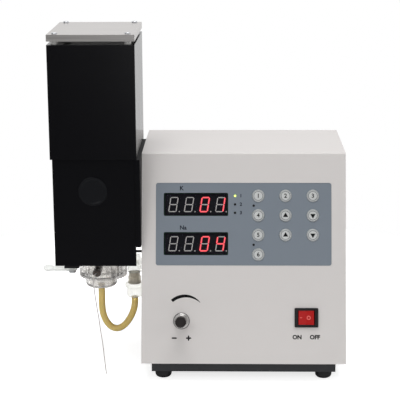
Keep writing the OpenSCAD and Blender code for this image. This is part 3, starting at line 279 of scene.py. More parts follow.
class PhotometerColours(bpy.types.PropertyGroup):
    case: colour_value("Case", "Powder coat of the cabinet", 210, 206, 204)
    plinth: colour_value("Plinth", "Paint of the plinth", 34, 35, 39)
    tower: colour_value("Tower", "Gloss enamel of the tower", 13, 13, 16)
    film: colour_value("Overlay", "Printed film round the keys", 118, 127, 137)
    ink: colour_value("Ink", "Printing on the case and the keys", 9, 9, 11)
    key: colour_value("Keys", "Metallised key caps", 206, 208, 207)
    lit: colour_value("Lit figures", "Colour of the shining figures", 255, 90, 98)
    unlit: colour_value("Dark figures", "Segments that don't shine", 236, 233, 232)
    rocker: colour_value("Rocker", "Red of the mains rocker", 176, 14, 14)
    knob: colour_value("Knob", "Moulded gas knob", 33, 28, 27)
    hose: colour_value("Hose", "Amber latex of the drain hose", 236, 208, 126)
    trap: colour_value("Trap", "White moulding of the drain trap", 246, 246, 242)
    sight: colour_value("Sight tube", "Cloudy sight tube of the trap", 222, 216, 203)


class PhotometerSizes(bpy.types.PropertyGroup):
    fold: length_value("Fold", "Outer radius of folded sheet metal", 1.3, 0.2, 3)
    edge: length_value("Edge", "Rounding of moulded edges", 0.3, 0.05, 1)
    stroke: length_value("Stroke", "Width of a figure's segments", 1.55, 0.8, 3)
    hose: length_value("Hose", "Diameter of the drain hose", 9.2, 6, 10)
    capillary: length_value("Capillary", "Diameter of the sample capillary", 1.4, 0.8, 2)
    rounds: IntProperty(
        name="Round steps", description="Sides of small turned pieces", default=32, min=12, max=64,
    )


# ---------- Finishes ----------


def group(name, inputs, outputs):
    """An empty shader group, the sockets it is given and the sockets it puts out."""
    tree = bpy.data.node_groups.new(name, "ShaderNodeTree")
    for label, kind in inputs:
        tree.interface.new_socket(name=label, in_out="INPUT", socket_type="NodeSocket" + kind)
    for label, kind in outputs:
        tree.interface.new_socket(name=label, in_out="OUTPUT", socket_type="NodeSocket" + kind)
    start, end = tree.nodes.new("NodeGroupInput"), tree.nodes.new("NodeGroupOutput")
    return tree, start.outputs, end.inputs


def fill(node, values):
    """Sets plain values on a node's sockets. A _ in a name stands for a space."""
    for socket, value in values.items():
        node.inputs[socket.replace("_", " ")].default_value = value


def feed(tree, socket, value):
    """Sets a number on a socket, or links another socket to it."""
    if isinstance(value, (int, float)):
        socket.default_value = value
    else:
        tree.links.new(value, socket)


def math_node(tree, operation, *values):
    """Works on numbers or sockets, and gives the socket of the result."""
    node = tree.nodes.new("ShaderNodeMath")
    node.operation = operation
    for socket, value in zip(node.inputs, values):
        feed(tree, socket, value)
    return node.outputs[0]


def noise_node(tree, vector, scale, detail=2.0):
    """Noise whose scale is a number or a socket."""
    node = tree.nodes.new("ShaderNodeTexNoise")
    node.inputs["Detail"].default_value = detail
    tree.links.new(vector, node.inputs["Vector"])
    feed(tree, node.inputs["Scale"], scale)
    return node.outputs["Fac"]


def tinted(tree, colour, amount, noise):
    """The colour, made lighter and darker by amount as the noise goes."""
    centred = math_node(tree, "SUBTRACT", noise, 0.5)
    value = math_node(tree, "MULTIPLY_ADD", centred, amount, 1.0)
    node = tree.nodes.new("ShaderNodeHueSaturation")
    tree.links.new(colour, node.inputs["Color"])
    tree.links.new(value, node.inputs["Value"])
    return node.outputs["Color"]


def surface_group():
    """Paint, rubber and moulded plastic: a fine grain over a slow unevenness."""
    found = bpy.data.node_groups.get("surface grain")
    if found:
        return found
    tree, given, out = group(
        "surface grain",
        (("Vector", "Vector"), ("Color", "Color"), ("Unevenness", "Float"), ("Grain", "Float"),
         ("Roughness", "Float"), ("Spread", "Float")),
        (("Color", "Color"), ("Roughness", "Float"), ("Height", "Float")),
    )
    fine = noise_node(tree, given["Vector"], given["Grain"], 3.0)
    slow_scale = math_node(tree, "MULTIPLY", given["Grain"], 0.035)
    slow = noise_node(tree, given["Vector"], slow_scale)
    both = math_node(tree, "MULTIPLY_ADD", fine, 0.4, math_node(tree, "MULTIPLY", slow, 0.6))
    colour = tinted(tree, given["Color"], given["Unevenness"], both)
    centred = math_node(tree, "SUBTRACT", slow, 0.5)
    roughness = math_node(tree, "MULTIPLY_ADD", centred, given["Spread"], given["Roughness"])
    tree.links.new(colour, out["Color"])
    tree.links.new(roughness, out["Roughness"])
    tree.links.new(fine, out["Height"])
    return tree


def brushed_group():
    """Brushed sheet: long streaks along one way of the sheet."""
    found = bpy.data.node_groups.get("brushed streaks")
    if found:
        return found
    tree, given, out = group(
        "brushed streaks",
        (("Vector", "Vector"), ("Color", "Color"), ("Streaks", "Vector"), ("Depth", "Float"),
         ("Roughness", "Float")),
        (("Color", "Color"), ("Roughness", "Float"), ("Height", "Float")),
    )
    stretch = tree.nodes.new("ShaderNodeVectorMath")
    stretch.operation = "MULTIPLY"
    tree.links.new(given["Vector"], stretch.inputs[0])
    tree.links.new(given["Streaks"], stretch.inputs[1])
    streaks = noise_node(tree, stretch.outputs[0], 1.0, 4.0)
    colour = tinted(tree, given["Color"], given["Depth"], streaks)
    centred = math_node(tree, "SUBTRACT", streaks, 0.5)
    roughness = math_node(tree, "MULTIPLY_ADD", centred, 0.25, given["Roughness"])
    tree.links.new(colour, out["Color"])
    tree.links.new(roughness, out["Roughness"])
    tree.links.new(streaks, out["Height"])
    return tree


def blank_finish(name, **plain):
    """A material whose plain values stand on the shader's own sockets."""
    made = bpy.data.materials.new(name)
    made.use_nodes = True
    shader = made.node_tree.nodes["Principled BSDF"]
    fill(shader, plain)
    return made, made.node_tree, shader


def grouped_finish(name, make_group, values, strength, depth, **plain):
    """A material, made once, whose shader is fed by a group, with the group's height as a bump."""
    found = bpy.data.materials.get(name)
    if found:
        return found
    made, tree, shader = blank_finish(name, **plain)
    source = tree.nodes.new("ShaderNodeGroup")
    source.node_tree = make_group()
    fill(source, values)
    coordinates = tree.nodes.new("ShaderNodeTexCoord")
    tree.links.new(coordinates.outputs["Object"], source.inputs["Vector"])
    tree.links.new(source.outputs["Color"], shader.inputs["Base Color"])
    tree.links.new(source.outputs["Roughness"], shader.inputs["Roughness"])
    bump = tree.nodes.new("ShaderNodeBump")
    fill(bump, {"Strength": strength, "Distance": depth})
    tree.links.new(source.outputs["Height"], bump.inputs["Height"])
    tree.links.new(bump.outputs["Normal"], shader.inputs["Normal"])
    return made


def finish(name, colour, roughness=0.45, grain=900.0, uneven=0.04, spread=0.08, bump=0.08,
           depth=0.0002, **plain):
    """Paint, rubber or plastic, with further plain values for the shader's own sockets."""
    values = {
        "Color": (*colour, 1), "Unevenness": uneven, "Grain": grain, "Roughness": roughness,
        "Spread": spread,
    }
    return grouped_finish(name, surface_group, values, bump, depth, **plain)


def brushed(name, colour, streaks, roughness=0.3, depth=0.25):
    """Brushed or turned metal."""
    values = {
        "Color": (*colour, 1), "Streaks": streaks, "Depth": depth, "Roughness": roughness,
    }
    return grouped_finish(name, brushed_group, values, *STREAK_BUMP, Metallic=1.0)


def ink():
    """The black ink of the case and the keys."""
    colours = bpy.context.scene.photometer_colours
    return finish(
        "printing ink", colours.ink, roughness=0.6, grain=2600, uneven=0.15,
        Specular_IOR_Level=0.15,
    )


def black_moulding():
    """The black plastic of the mains switch and the mains inlet."""
    return finish(
        "black moulding", linear(24, 23, 25), roughness=0.5, grain=1600, bump=0.15,
        Specular_IOR_Level=0.3,
    )


def turned_brass():
    """The brass of the valve and of the inlets on the back."""
    return brushed("turned brass", linear(212, 178, 104), (200, 200, 900), roughness=0.28)


def steel_screw_finish():
    """The plated steel of screws and pins."""
    return brushed("zinc plate", linear(196, 197, 200), (500, 500, 500), roughness=0.32, depth=0.3)


# ---------- Making pieces ----------


def in_scene(name, data):
    """An object of the data, linked to the scene."""
    made = bpy.data.objects.new(name, data)
    bpy.context.scene.collection.objects.link(made)
    return made


def as_mesh(name, bm):
    """Turns a bmesh into a mesh and frees it."""
    mesh = bpy.data.meshes.new(name)
    bm.to_mesh(mesh)
    bm.free()
    return mesh


def dress(node, material, width=0.0, steps=2):
    """Gives a CAD node its finish, and softens its edges with modifiers."""
    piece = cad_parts[node]
    piece.data.materials.clear()
    piece.data.materials.append(material)
    if width:
        weld = piece.modifiers.new("weld", "WELD")
        weld.merge_threshold = WELD_DISTANCE
        flat = piece.modifiers.new("flat faces", "DECIMATE")
        flat.decimate_type = "DISSOLVE"
        flat.angle_limit = FLAT_ANGLE
        bevel = piece.modifiers.new("edges", "BEVEL")
        bevel.width = width
        bevel.segments = steps
        bevel.limit_method = "ANGLE"
        bevel.angle_limit = SHARP_ANGLE


def add_piece(name, bm, material, body="case", place=None, smooth=None):
    """Makes an object of a bmesh whose sizes are millimetres, and hangs it on its body."""
    if place is not None:
        bmesh.ops.transform(bm, matrix=place, verts=bm.verts)
    bmesh.ops.remove_doubles(bm, verts=bm.verts, dist=0.000001)
    bmesh.ops.recalc_face_normals(bm, faces=bm.faces)
    if smooth is not None:
        for face in bm.faces:
            face.smooth = True
        for edge in bm.edges:
            edge.smooth = edge.calc_face_angle(math.pi) < math.radians(smooth)
    mesh = as_mesh(name, bm)
    mesh.materials.append(material)
    piece = in_scene(name, mesh)
    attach(piece, body)
    return piece


def plate(bm, foot, centre, size, turn=0.0, shear=0.0):
    """Adds a bar with pointed ends, (length, width, height) along its own X, on a plane."""
    length, width, height = size
    made = bmesh.ops.create_cube(bm, size=1.0)["verts"]
    bmesh.ops.scale(bm, vec=(length, width, height), verts=made)
    upright = [
        e for e in {e for v in made for e in v.link_edges}
        if abs(e.verts[0].co.z - e.verts[1].co.z) > height / 2
    ]
    cut = bmesh.ops.bevel(
        bm, geom=upright, offset=width * 0.48, affect="EDGES", segments=1, profile=0.5, material=-1
    )
    verts = list({v for f in cut["faces"] for v in f.verts} | {v for v in made if v.is_valid})
    lean = Matrix.Identity(4)
    lean[0][1] = shear
    place = Matrix.Translation(centre) @ Matrix.Rotation(turn, 4, "Z")
    bmesh.ops.transform(bm, matrix=foot @ lean @ place, verts=verts)


def add_words(bm, words, size, place, bold):
    """Adds flat lettering to bm. The strokes grow by bold to each side."""
    curve = bpy.data.curves.new("words", "FONT")
    curve.body = words
    curve.size = size
    curve.offset = bold
    curve.align_x = "CENTER"
    curve.align_y = "CENTER"
    curve.extrude = PRINT / 2
    curve.resolution_u = 4
    carrier = in_scene("words", curve)
    mesh = bpy.data.meshes.new_from_object(carrier)
    mesh.transform(place)
    bm.from_mesh(mesh)
    bpy.data.objects.remove(carrier)
    bpy.data.meshes.remove(mesh)
    bpy.data.curves.remove(curve)


def add_disc(bm, place, radius, height, sides):
    """Adds a flat disc, or a plate of few sides, that lies on a plane."""
    made = bmesh.ops.create_cone(
        bm, cap_ends=True, segments=sides, radius1=radius, radius2=radius, depth=height
    )["verts"]
    bmesh.ops.transform(bm, matrix=place, verts=made)


def add_ring(bm, place, inner, outer, height, sides):
    """Adds a flat ring that lies on a plane."""
    before = set(bm.verts)
    low, high = -height / 2, height / 2
    turned(bm, ((inner, low), (outer, low), (outer, high), (inner, high), (inner, low)), sides)
    made = [v for v in bm.verts if v not in before]
    bmesh.ops.transform(bm, matrix=place, verts=made)


def turned(bm, profile, sides):
    """Spins (radius, height) points round the Z axis."""
    before = set(bm.verts)
    verts = [bm.verts.new((r, 0, z)) for r, z in profile]
    edges = [bm.edges.new(pair) for pair in zip(verts, verts[1:])]
    bmesh.ops.spin(
        bm, geom=verts + edges, cent=(0, 0, 0), axis=(0, 0, 1), angle=math.tau, steps=sides,
        use_merge=True,
    )
    fresh = [v for v in bm.verts if v not in before]
    bmesh.ops.remove_doubles(bm, verts=fresh, dist=0.0001)


def tube_curve(name, points, diameter, material):
    """A hose or capillary on one smooth curve."""
    curve = bpy.data.curves.new(name, "CURVE")
    curve.dimensions = "3D"
    curve.bevel_depth = diameter / 2
    curve.bevel_resolution = 5
    curve.resolution_u = 6
    curve.use_fill_caps = True
    line = curve.splines.new("BEZIER")
    line.bezier_points.add(len(points) - 1)
    for knot, point in zip(line.bezier_points, points):
        knot.co = at(*point)
        knot.handle_left_type = knot.handle_right_type = "AUTO"
    curve.materials.append(material)
    piece = in_scene(name, curve)
    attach(piece, "case")
    return piece, line.calc_length()


def cross_screw(head, head_h, shank, shank_l, sides):
    """A pan-head screw with a cross recess, as a mesh in millimetres."""
    bm = bmesh.new()
    r = head / 2
    rounding = head_h * ROUNDING_SHARE
    corner = [
        (r - rounding + rounding * math.cos(a), head_h - rounding + rounding * math.sin(a))
        for a in (math.pi / 2 * i / 5 for i in range(6))
    ]
    turned(
        bm, [(0, -shank_l), (shank / 2, -shank_l), (shank / 2, 0), (r, 0), *corner, (0, head_h)],
        sides,
    )
    bmesh.ops.recalc_face_normals(bm, faces=bm.faces)
    blank = in_scene("screw", as_mesh("screw", bm))
    cutter = bmesh.new()
    size = [part * share for part, share in zip((head, head, head_h), RECESS_SHARES)]
    for turn in (0, math.pi / 2):
        verts = bmesh.ops.create_cube(cutter, size=1.0)["verts"]
        bmesh.ops.scale(cutter, vec=size, verts=verts)
        for v in verts:
            if v.co.z < 0:
                v.co.x *= RECESS_FOOT
        bmesh.ops.transform(
            cutter, matrix=Matrix.Translation((0, 0, head_h)) @ Matrix.Rotation(turn, 4, "Z"),
            verts=verts,
        )
    tool = in_scene("cutter", as_mesh("cutter", cutter))
    cut = blank.modifiers.new("recess", "BOOLEAN")
    cut.object = tool
    cut.operation = "DIFFERENCE"
    cut.use_self = True
    solved = blank.evaluated_get(bpy.context.evaluated_depsgraph_get())
    made = bpy.data.meshes.new_from_object(solved)
    for piece in (blank, tool):
        spent = piece.data
        bpy.data.objects.remove(piece)
        bpy.data.meshes.remove(spent)
    return made


# ---------- Operators ----------


class PHOTOMETER_OT_drain_hose(bpy.types.Operator):
    """Hangs the amber drain hose between the spray chamber and the trap"""

    bl_idname = "photometer.drain_hose"
    bl_label = "Drain hose"

    def execute(self, context):
        latex = finish(
            "amber latex", context.scene.photometer_colours.hose, roughness=0.38, grain=420,
            uneven=0.12, spread=0.1, bump=0.1, Subsurface_Weight=0.35,
            Subsurface_Radius=(0.005, 0.0045, 0.0018), Subsurface_Scale=1.0,
        )
        size = context.scene.photometer_sizes.hose
        hose, length = tube_curve("drain_hose_latex", HOSE, size, latex)
        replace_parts(hose, "drain_hose")
        return {"FINISHED"}


class PHOTOMETER_OT_capillary(bpy.types.Operator):
    """Hangs the thin sample capillary from the nebulizer"""

    bl_idname = "photometer.capillary"
    bl_label = "Sample capillary"

    def execute(self, context):
        clear = finish(
            "capillary tubing", linear(216, 211, 209), roughness=0.3, grain=700, uneven=0.06,
            Transmission_Weight=0.3, IOR=1.3,
        )
        size = context.scene.photometer_sizes.capillary
        tube, length = tube_curve("capillary_tube", CAPILLARY, size, clear)
        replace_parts(tube, "sample_capillary")
        return {"FINISHED"}


class PHOTOMETER_OT_case(bpy.types.Operator):
    """Paints the cabinet, its back, plinth and feet"""

    bl_idname = "photometer.case"
    bl_label = "Case"

    def execute(self, context):
        colours = context.scene.photometer_colours
        sizes = context.scene.photometer_sizes
        coat = finish(
            "grey powder coat", colours.case, roughness=0.46, grain=1100, uneven=0.03,
            spread=0.06, bump=0.16, depth=0.00015,
        )
        dress("cabinet_shell", coat, sizes.fold, 3)
        dress("rear_panel", coat, sizes.edge)
        plinth = finish("plinth paint", colours.plinth, roughness=0.5, grain=1000)
        dress("base_pan", plinth, sizes.edge)
        rubber = finish(
            "foot rubber", linear(30, 30, 32), roughness=0.7, grain=1500, uneven=0.2, bump=0.25,
            depth=0.0003,
        )
        dress("feet", rubber, sizes.edge)
        return {"FINISHED"}


class PHOTOMETER_OT_screws(bpy.types.Operator):
    """Puts cross-head screws in the lid, the back and the feet"""

    bl_idname = "photometer.screws"
    bl_label = "Screws"

    def execute(self, context):
        sides = context.scene.photometer_sizes.rounds
        zinc = steel_screw_finish()
        low, high = box_mm("lid_screws")
        on_lid = [
            Matrix.Translation((x, y, high.z - LID_HEAD_H)) @ Matrix.Rotation(x + y, 4, "Z")
            for x, y in self.corners(low, high, LID_HEAD / 2)
        ]
        lid = cross_screw(LID_HEAD, LID_HEAD_H, LID_SHANK, LID_SHANK_L, sides)
        self.put("lid_screw", lid, on_lid, zinc)

        low, high = box_mm("case_screws")
        back = high.y - CASE_HEAD_H
        on_back = [
            Matrix.Translation((x, back, z)) @ Matrix.Rotation(-math.pi / 2, 4, "X")
            for x in (low.x + CASE_HEAD / 2, (low.x + high.x) / 2, high.x - CASE_HEAD / 2)
            for z in (SHEET_FOOT + CASE_SCREW_UP, high.z - CASE_HEAD / 2)
        ]
        under_feet = [
            Matrix.Translation((x, y, FOOT_RECESS)) @ Matrix.Rotation(math.pi, 4, "X")
            for x, y in self.corners(*box_mm("feet"), FOOT_R)
        ]
        case = cross_screw(CASE_HEAD, CASE_HEAD_H, CASE_SHANK, CASE_SHANK_L, sides)
        self.put("case_screw", case, on_back + under_feet, zinc)
        return {"FINISHED"}

    def corners(self, low, high, radius):
        """The middles of four round pieces that fill a box's corners, seen from above."""
        across = (low.x + radius, high.x - radius)
        return [(x, y) for x in across for y in (low.y + radius, high.y - radius)]

    def put(self, name, screw, places, zinc):
        """Sets a copy of the screw at each place, instead of the CAD's screws."""
        bm = bmesh.new()
        for place in places:
            copy = screw.copy()
            copy.transform(Matrix.Scale(MM, 4) @ place)
            bm.from_mesh(copy)
            bpy.data.meshes.remove(copy)
        bpy.data.meshes.remove(screw)
        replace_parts(add_piece(f"{name}_heads", bm, zinc, smooth=40), f"{name}s")


class PHOTOMETER_OT_overlay(bpy.types.Operator):
    """Finishes the keypad film and prints its figures"""

    bl_idname = "photometer.overlay"
    bl_label = "Keypad film"

    def execute(self, context):
        film = finish(
            "keypad film", context.scene.photometer_colours.film, roughness=0.42, grain=2200,
            uneven=0.05, spread=0.05, bump=0.1, depth=0.00005,
        )
        dress("overlay_panel", film)
        bm = bmesh.new()
        level = OVERLAY_FACE + PRINT / 2
        for sign, size, place in ELEMENT_SIGNS:
            add_words(bm, sign, size, on_front(*place, level), BOLD)
        for number, (x, up) in enumerate(LAMPS[:NUMBERED_LAMPS], 1):
            place = on_front(x + NUMBER_GAP, up, level)
            add_words(bm, str(number), NUMBER_SIZE, place, BOLD)
        blue = finish(
            "film ink", linear(20, 27, 40), roughness=0.6, grain=2600, uneven=0.15,
            Specular_IOR_Level=0.15,
        )
        add_piece("film_printing", bm, blue)
        return {"FINISHED"}


class PHOTOMETER_OT_displays(bpy.types.Operator):
    """Sets the two four-figure displays behind their dark windows"""

    bl_idname = "photometer.displays"
    bl_label = "Displays"

    def execute(self, context):
        colours = context.scene.photometer_colours
        stroke = context.scene.photometer_sizes.stroke / MM
        pane = finish(
            "smoked window", linear(13, 14, 24), roughness=0.12, grain=500, uneven=0.02,
            spread=0.03, bump=0.01, Alpha=0.16, Specular_IOR_Level=0.3,
        )
        dress("display_windows", pane)
        face = finish(
            "display face", linear(19, 19, 26), roughness=0.6, grain=1500, uneven=0.1,
            Specular_IOR_Level=0.2,
        )
        dress("display_modules", face)
        lit = finish(
            "lit segment", colours.lit, roughness=0.5, grain=900, uneven=0.1,
            Emission_Color=(*colours.lit, 1), Emission_Strength=1.5,
        )
        dark = finish("dark segment", colours.unlit, roughness=0.5, grain=900, uneven=0.1)
        glow = finish("segment glow", linear(120, 18, 28), roughness=0.6, grain=900, uneven=0.1)
        shining, resting, halo = bmesh.new(), bmesh.new(), bmesh.new()
        wide, high, thick = DIGIT_W, DIGIT_H, SEGMENT_T
        # Middle of each segment, and whether it stands upright
        bars = {
            "a": (wide / 2, high, 0), "b": (wide, high * 0.75, 1), "c": (wide, high * 0.25, 1),
            "d": (wide / 2, 0, 0), "e": (0, high * 0.25, 1), "f": (0, high * 0.75, 1),
            "g": (wide / 2, high / 2, 0),
        }
        for low, figures in zip(DISPLAY_LOW, READINGS):
            for place, figure in enumerate(figures):
                left = DISPLAY_LEFT + DIGIT_INSET[0] + place * DIGIT_PITCH
                foot = on_front(left, low + DIGIT_INSET[1], MODULE_FACE + thick)
                for bar, (x, y, upright) in bars.items():
                    shines = bar in FIGURES[figure]
                    length = (high / 2 if upright else wide) - stroke * END_SHARE
                    turn = math.pi / 2 * upright
                    if shines:
                        broad = (length + stroke, stroke * GLOW_SHARE, thick)
                        plate(halo, foot, (x, y, -thick), broad, turn, DIGIT_SLANT)
                    size = (length, stroke * (1 if shines else DARK_SHARE), thick)
                    bm = shining if shines else resting
                    plate(bm, foot, (x, y, 0), size, turn, DIGIT_SLANT)
                dot = foot @ Matrix.Translation((wide + DOT_GAP, 0, 0))
                add_disc(resting, dot, DOT_R, thick, 16)
        add_piece("shining_segments", shining, lit)
        add_piece("segment_halo", halo, glow)
        add_piece("dark_segments", resting, dark)
        return {"FINISHED"}


class PHOTOMETER_OT_keys(bpy.types.Operator):
    """Finishes the ten keys and prints their marks"""

    bl_idname = "photometer.keys"
    bl_label = "Keys"

    def execute(self, context):
        cap = finish(
            "key cap", context.scene.photometer_colours.key, roughness=0.34, grain=1800,
            uneven=0.08, spread=0.1, bump=0.06, Metallic=0.25,
        )
        # A grey darker than the caps: painted shade for the grooves round each key, laid on as
        # flat rings
        groove_shade = finish("key groove", linear(98, 104, 110), roughness=0.5, grain=1800, uneven=0.2)
        for i, mark in enumerate(KEY_MARKS, 1):
            dress(f"key_{i}", cap, 0.12 * MM)
            place = on_front(*spot(f"key_{i}"), KEY_FACE + PRINT / 2)
            ring = bmesh.new()
            for inner, outer in KEY_GROOVE_SHADES:
                add_ring(ring, place, inner, outer, PRINT, 48)
            add_piece(f"key_groove_shade_{i}", ring, groove_shade, f"key_{i}")
            bm = bmesh.new()
            if mark in ("up", "down"):
                turn = Matrix.Rotation(0 if mark == "up" else -math.pi, 4, "Z")
                add_disc(bm, place @ turn, KEY_ARROW_R, PRINT, 3)
            else:
                add_words(bm, mark, KEY_MARK_SIZE, place, BOLD)
            add_piece(f"key_mark_{i}", bm, ink(), f"key_{i}")
        return {"FINISHED"}


class PHOTOMETER_OT_lamps(bpy.types.Operator):
    """Caps the indicator lamps, of which the first one shines"""

    bl_idname = "photometer.lamps"
    bl_label = "Lamps"

    def execute(self, context):
        sides = context.scene.photometer_sizes.rounds
        dark = finish(
            "dark lamp", linear(9, 9, 11), roughness=0.35, grain=700, Specular_IOR_Level=0.3
        )
        lit = finish(
            "shining lamp", linear(205, 240, 90), roughness=0.3, grain=700,
            Emission_Color=(*linear(215, 255, 120), 1), Emission_Strength=1.6,
        )
        dress("indicator_leds", dark)
        for i, (x, up) in enumerate(LAMPS):
            bm = bmesh.new()
            arc = (math.pi / 2 * k / 6 for k in range(7))
            turned(bm, [(LAMP_R * math.cos(a), LAMP_H * math.sin(a)) for a in arc], sides)
            rim = [e for e in bm.edges if e.is_boundary]
            bmesh.ops.holes_fill(bm, edges=rim, sides=0)
            add_piece(
                f"lamp_dome_{i + 1}", bm, dark if i else lit,
                place=on_front(x, up, LAMP_FACE), smooth=50,
            )
        return {"FINISHED"}


class PHOTOMETER_OT_mains_switch(bpy.types.Operator):
    """Finishes the mains switch and prints its marks"""

    bl_idname = "photometer.mains_switch"
    bl_label = "Mains switch"

    def execute(self, context):
        colours = context.scene.photometer_colours
        edge = context.scene.photometer_sizes.edge
        dress("switch_housing", black_moulding(), edge)
        red = finish(
            "red rocker", colours.rocker, roughness=0.4, grain=500, uneven=0.1, bump=0.02,
            Specular_IOR_Level=0.3, Subsurface_Weight=0.2,
            Subsurface_Radius=(0.004, 0.001, 0.001), Subsurface_Scale=1.0,
        )
        dress("switch_rocker", red, edge)
        # Moulded marks on the rocker's face: a bar on the pressed half, a ring on the other
        pale = finish("rocker mark", linear(236, 112, 106), roughness=0.4, grain=900)
        bm = bmesh.new()
        plate(bm, self.on_rocker(BAR_PLACE), (0, 0, 0), (*BAR_SIZE, MARK_T))
        add_ring(bm, self.on_rocker(RING_PLACE), *RING_RADII, MARK_T, 28)
        add_piece("rocker_marks", bm, pale, "rocker")
        words = bmesh.new()
        for word, across in SWITCH_WORDS:
            place = on_front(SWITCH[0] + across, SWITCH_WORDS_UP, PRINT / 2)
            add_words(words, word, SWITCH_WORD_SIZE, place, SWITCH_BOLD)
        add_piece("switch_printing", words, ink())
        return {"FINISHED"}

    def on_rocker(self, across):
        """The plane of the rocker's face, which rises from its middle to both sides."""
        rise = ROCKER_MIDDLE + math.tan(math.radians(ROCKER_SLOPE)) * (abs(across) - ROCKER_FLAT)
        tilt = math.copysign(math.radians(ROCKER_SLOPE), -across)
        rest = Matrix.Rotation(math.radians(-ROCKER_TIP), 4, "Y")
        return (
            on_front(*SWITCH, ROCKER_PIVOT) @ rest @ Matrix.Translation((across, 0, rise))
            @ Matrix.Rotation(tilt, 4, "Y")
        )


class PHOTOMETER_OT_gas_valve(bpy.types.Operator):
    """Finishes the gas valve and prints its tapered arc"""

    bl_idname = "photometer.gas_valve"
    bl_label = "Gas valve"

    def execute(self, context):
        nickel = brushed("nickel", linear(190, 188, 186), (90, 90, 90), roughness=0.3, depth=0.06)
        dress("valve_nut", nickel, 0.8 * MM, 3)
        # Dark rubber for the washer, whose rim is partly a real washer and partly painted contact
        # shadow, and for a ring of painted shade
        rubber = finish("washer rubber and painted shade", linear(40, 40, 42), roughness=0.6, grain=1500, uneven=0.2)
        rings = bmesh.new()
        add_ring(rings, on_front(*VALVE, WASHER_LEVEL), *WASHER_RADII, WASHER_T, 48)
        # A flat dark ring on the nut's face: painted shade in the hollow between nut and collar
        add_ring(rings, on_front(*VALVE, NUT_FACE + PRINT / 2), *GROOVE_SHADE_RADII, PRINT, 48)
        add_piece("valve_washer_and_shade_rings", rings, rubber, smooth=40)
        dress("valve_spindle", nickel)
        knob = finish(
            "knob moulding", context.scene.photometer_colours.knob, roughness=0.36, grain=1400,
            uneven=0.12, bump=0.1, Specular_IOR_Level=0.3,
        )
        dress("valve_knob", knob, 0.2 * MM)
        brass = turned_brass()
        dress("valve_body", brass, 0.3 * MM)
        dress("valve_needle", brass)
        add_piece(
            "valve_arc", self.arc(), ink(),
            place=on_front(VALVE[0] + ARC_SHIFT[0], VALVE[1] + ARC_SHIFT[1], PRINT / 2),
        )
        marks = bmesh.new()
        bar = (SIGN_LENGTH, SIGN_STROKE, PRINT)
        minus = on_front(VALVE[0] - SIGN_SIDE, VALVE[1] - SIGN_DROP, PRINT / 2)
        plus = on_front(VALVE[0] + SIGN_SIDE, VALVE[1] - SIGN_DROP, PRINT / 2)
        plate(marks, minus, (0, 0, 0), bar)
        plate(marks, plus, (0, 0, 0), bar)
        plate(marks, plus, (0, 0, 0.001), bar, math.pi / 2)
        add_piece("valve_marks", marks, ink())
        return {"FINISHED"}

    def arc(self):
        """A strip round part of a circle, pinched towards its line as it runs to the right."""
        bm = bmesh.new()
        ends = [bm.verts.new((ARC_R + side * ARC_BROAD / 2, 0, 0)) for side in (-1, 1)]
        edge = bm.edges.new(ends)
        first = Matrix.Rotation(ARC_FROM, 3, "Z")
        bmesh.ops.rotate(bm, cent=(0, 0, 0), matrix=first, verts=ends)
        bmesh.ops.spin(
            bm, geom=[*ends, edge], cent=(0, 0, 0), axis=(0, 0, 1), angle=ARC_TO - ARC_FROM,
            steps=40,
        )
        for v in bm.verts:
            along = (math.atan2(v.co.y, v.co.x) - ARC_FROM) / (ARC_TO - ARC_FROM)
            taper = max(0, (along - ARC_STEADY) / (1 - ARC_STEADY)) ** ARC_TAPER
            width = ARC_BROAD - (ARC_BROAD - ARC_FINE) * taper
            reach = v.co.length
            v.co *= (ARC_R + (reach - ARC_R) * width / ARC_BROAD) / reach
        bmesh.ops.solidify(bm, geom=bm.faces[:], thickness=PRINT)
        return bm


class PHOTOMETER_OT_tower(bpy.types.Operator):
    """Enamels the burner tower and brushes its lid"""

    bl_idname = "photometer.tower"
    bl_label = "Tower"

    def execute(self, context):
        sizes = context.scene.photometer_sizes
        enamel = finish(
            "black enamel", context.scene.photometer_colours.tower, roughness=0.2, grain=260,
            uneven=0.08, spread=0.05, bump=0.03, depth=0.0004, Specular_IOR_Level=0.2,
        )
        dress("hood", enamel, sizes.edge * 1.3, 3)
        # A low-gloss copy of the tower's black enamel for the lower cover and the bridge: painted
        # shade, which keeps them dark in the gap between tower and cabinet
        matt_shade = finish(
            "black matt coat", context.scene.photometer_colours.tower, roughness=0.5, grain=700,
            uneven=0.08, spread=0.05, bump=0.05, Specular_IOR_Level=0.06,
        )
        for node in ("lower_cover", "bridge_housing"):
            dress(node, matt_shade, sizes.edge * 1.3, 3)
        dress("tower_base", enamel, sizes.edge)
        lid = brushed(
            "brushed stainless", linear(190, 187, 185), (12, 420, 420), roughness=0.38, depth=0.5
        )
        dress("lid", lid, sizes.edge, 3)
        # Pale metal made near-white as a painted highlight, so that the standoffs stay bright in
        # the dark gap under the lid
        spacer_painted_sheen = finish("spacer_painted_sheen", linear(238, 237, 234), roughness=0.3, grain=900, Metallic=0.2)
        dress("lid_standoffs", spacer_painted_sheen, sizes.edge)
        glass = finish(
            "dark viewing glass", linear(20, 21, 24), roughness=0.16, grain=300, uneven=0.05,
            bump=0.01, Specular_IOR_Level=0.4,
        )
        dress("view_window", glass, 0.15 * MM)
        clear = finish(
            "chimney glass", (0.95, 0.97, 0.97), roughness=0.04, grain=200, uneven=0.02,
            bump=0.0, Transmission_Weight=1.0, IOR=1.47,
        )
        dress("chimney_glass", clear)
        burner = brushed("burner steel", linear(176, 172, 168), (400, 400, 60), roughness=0.35)
        dress("burner_head", burner, sizes.edge)
        return {"FINISHED"}


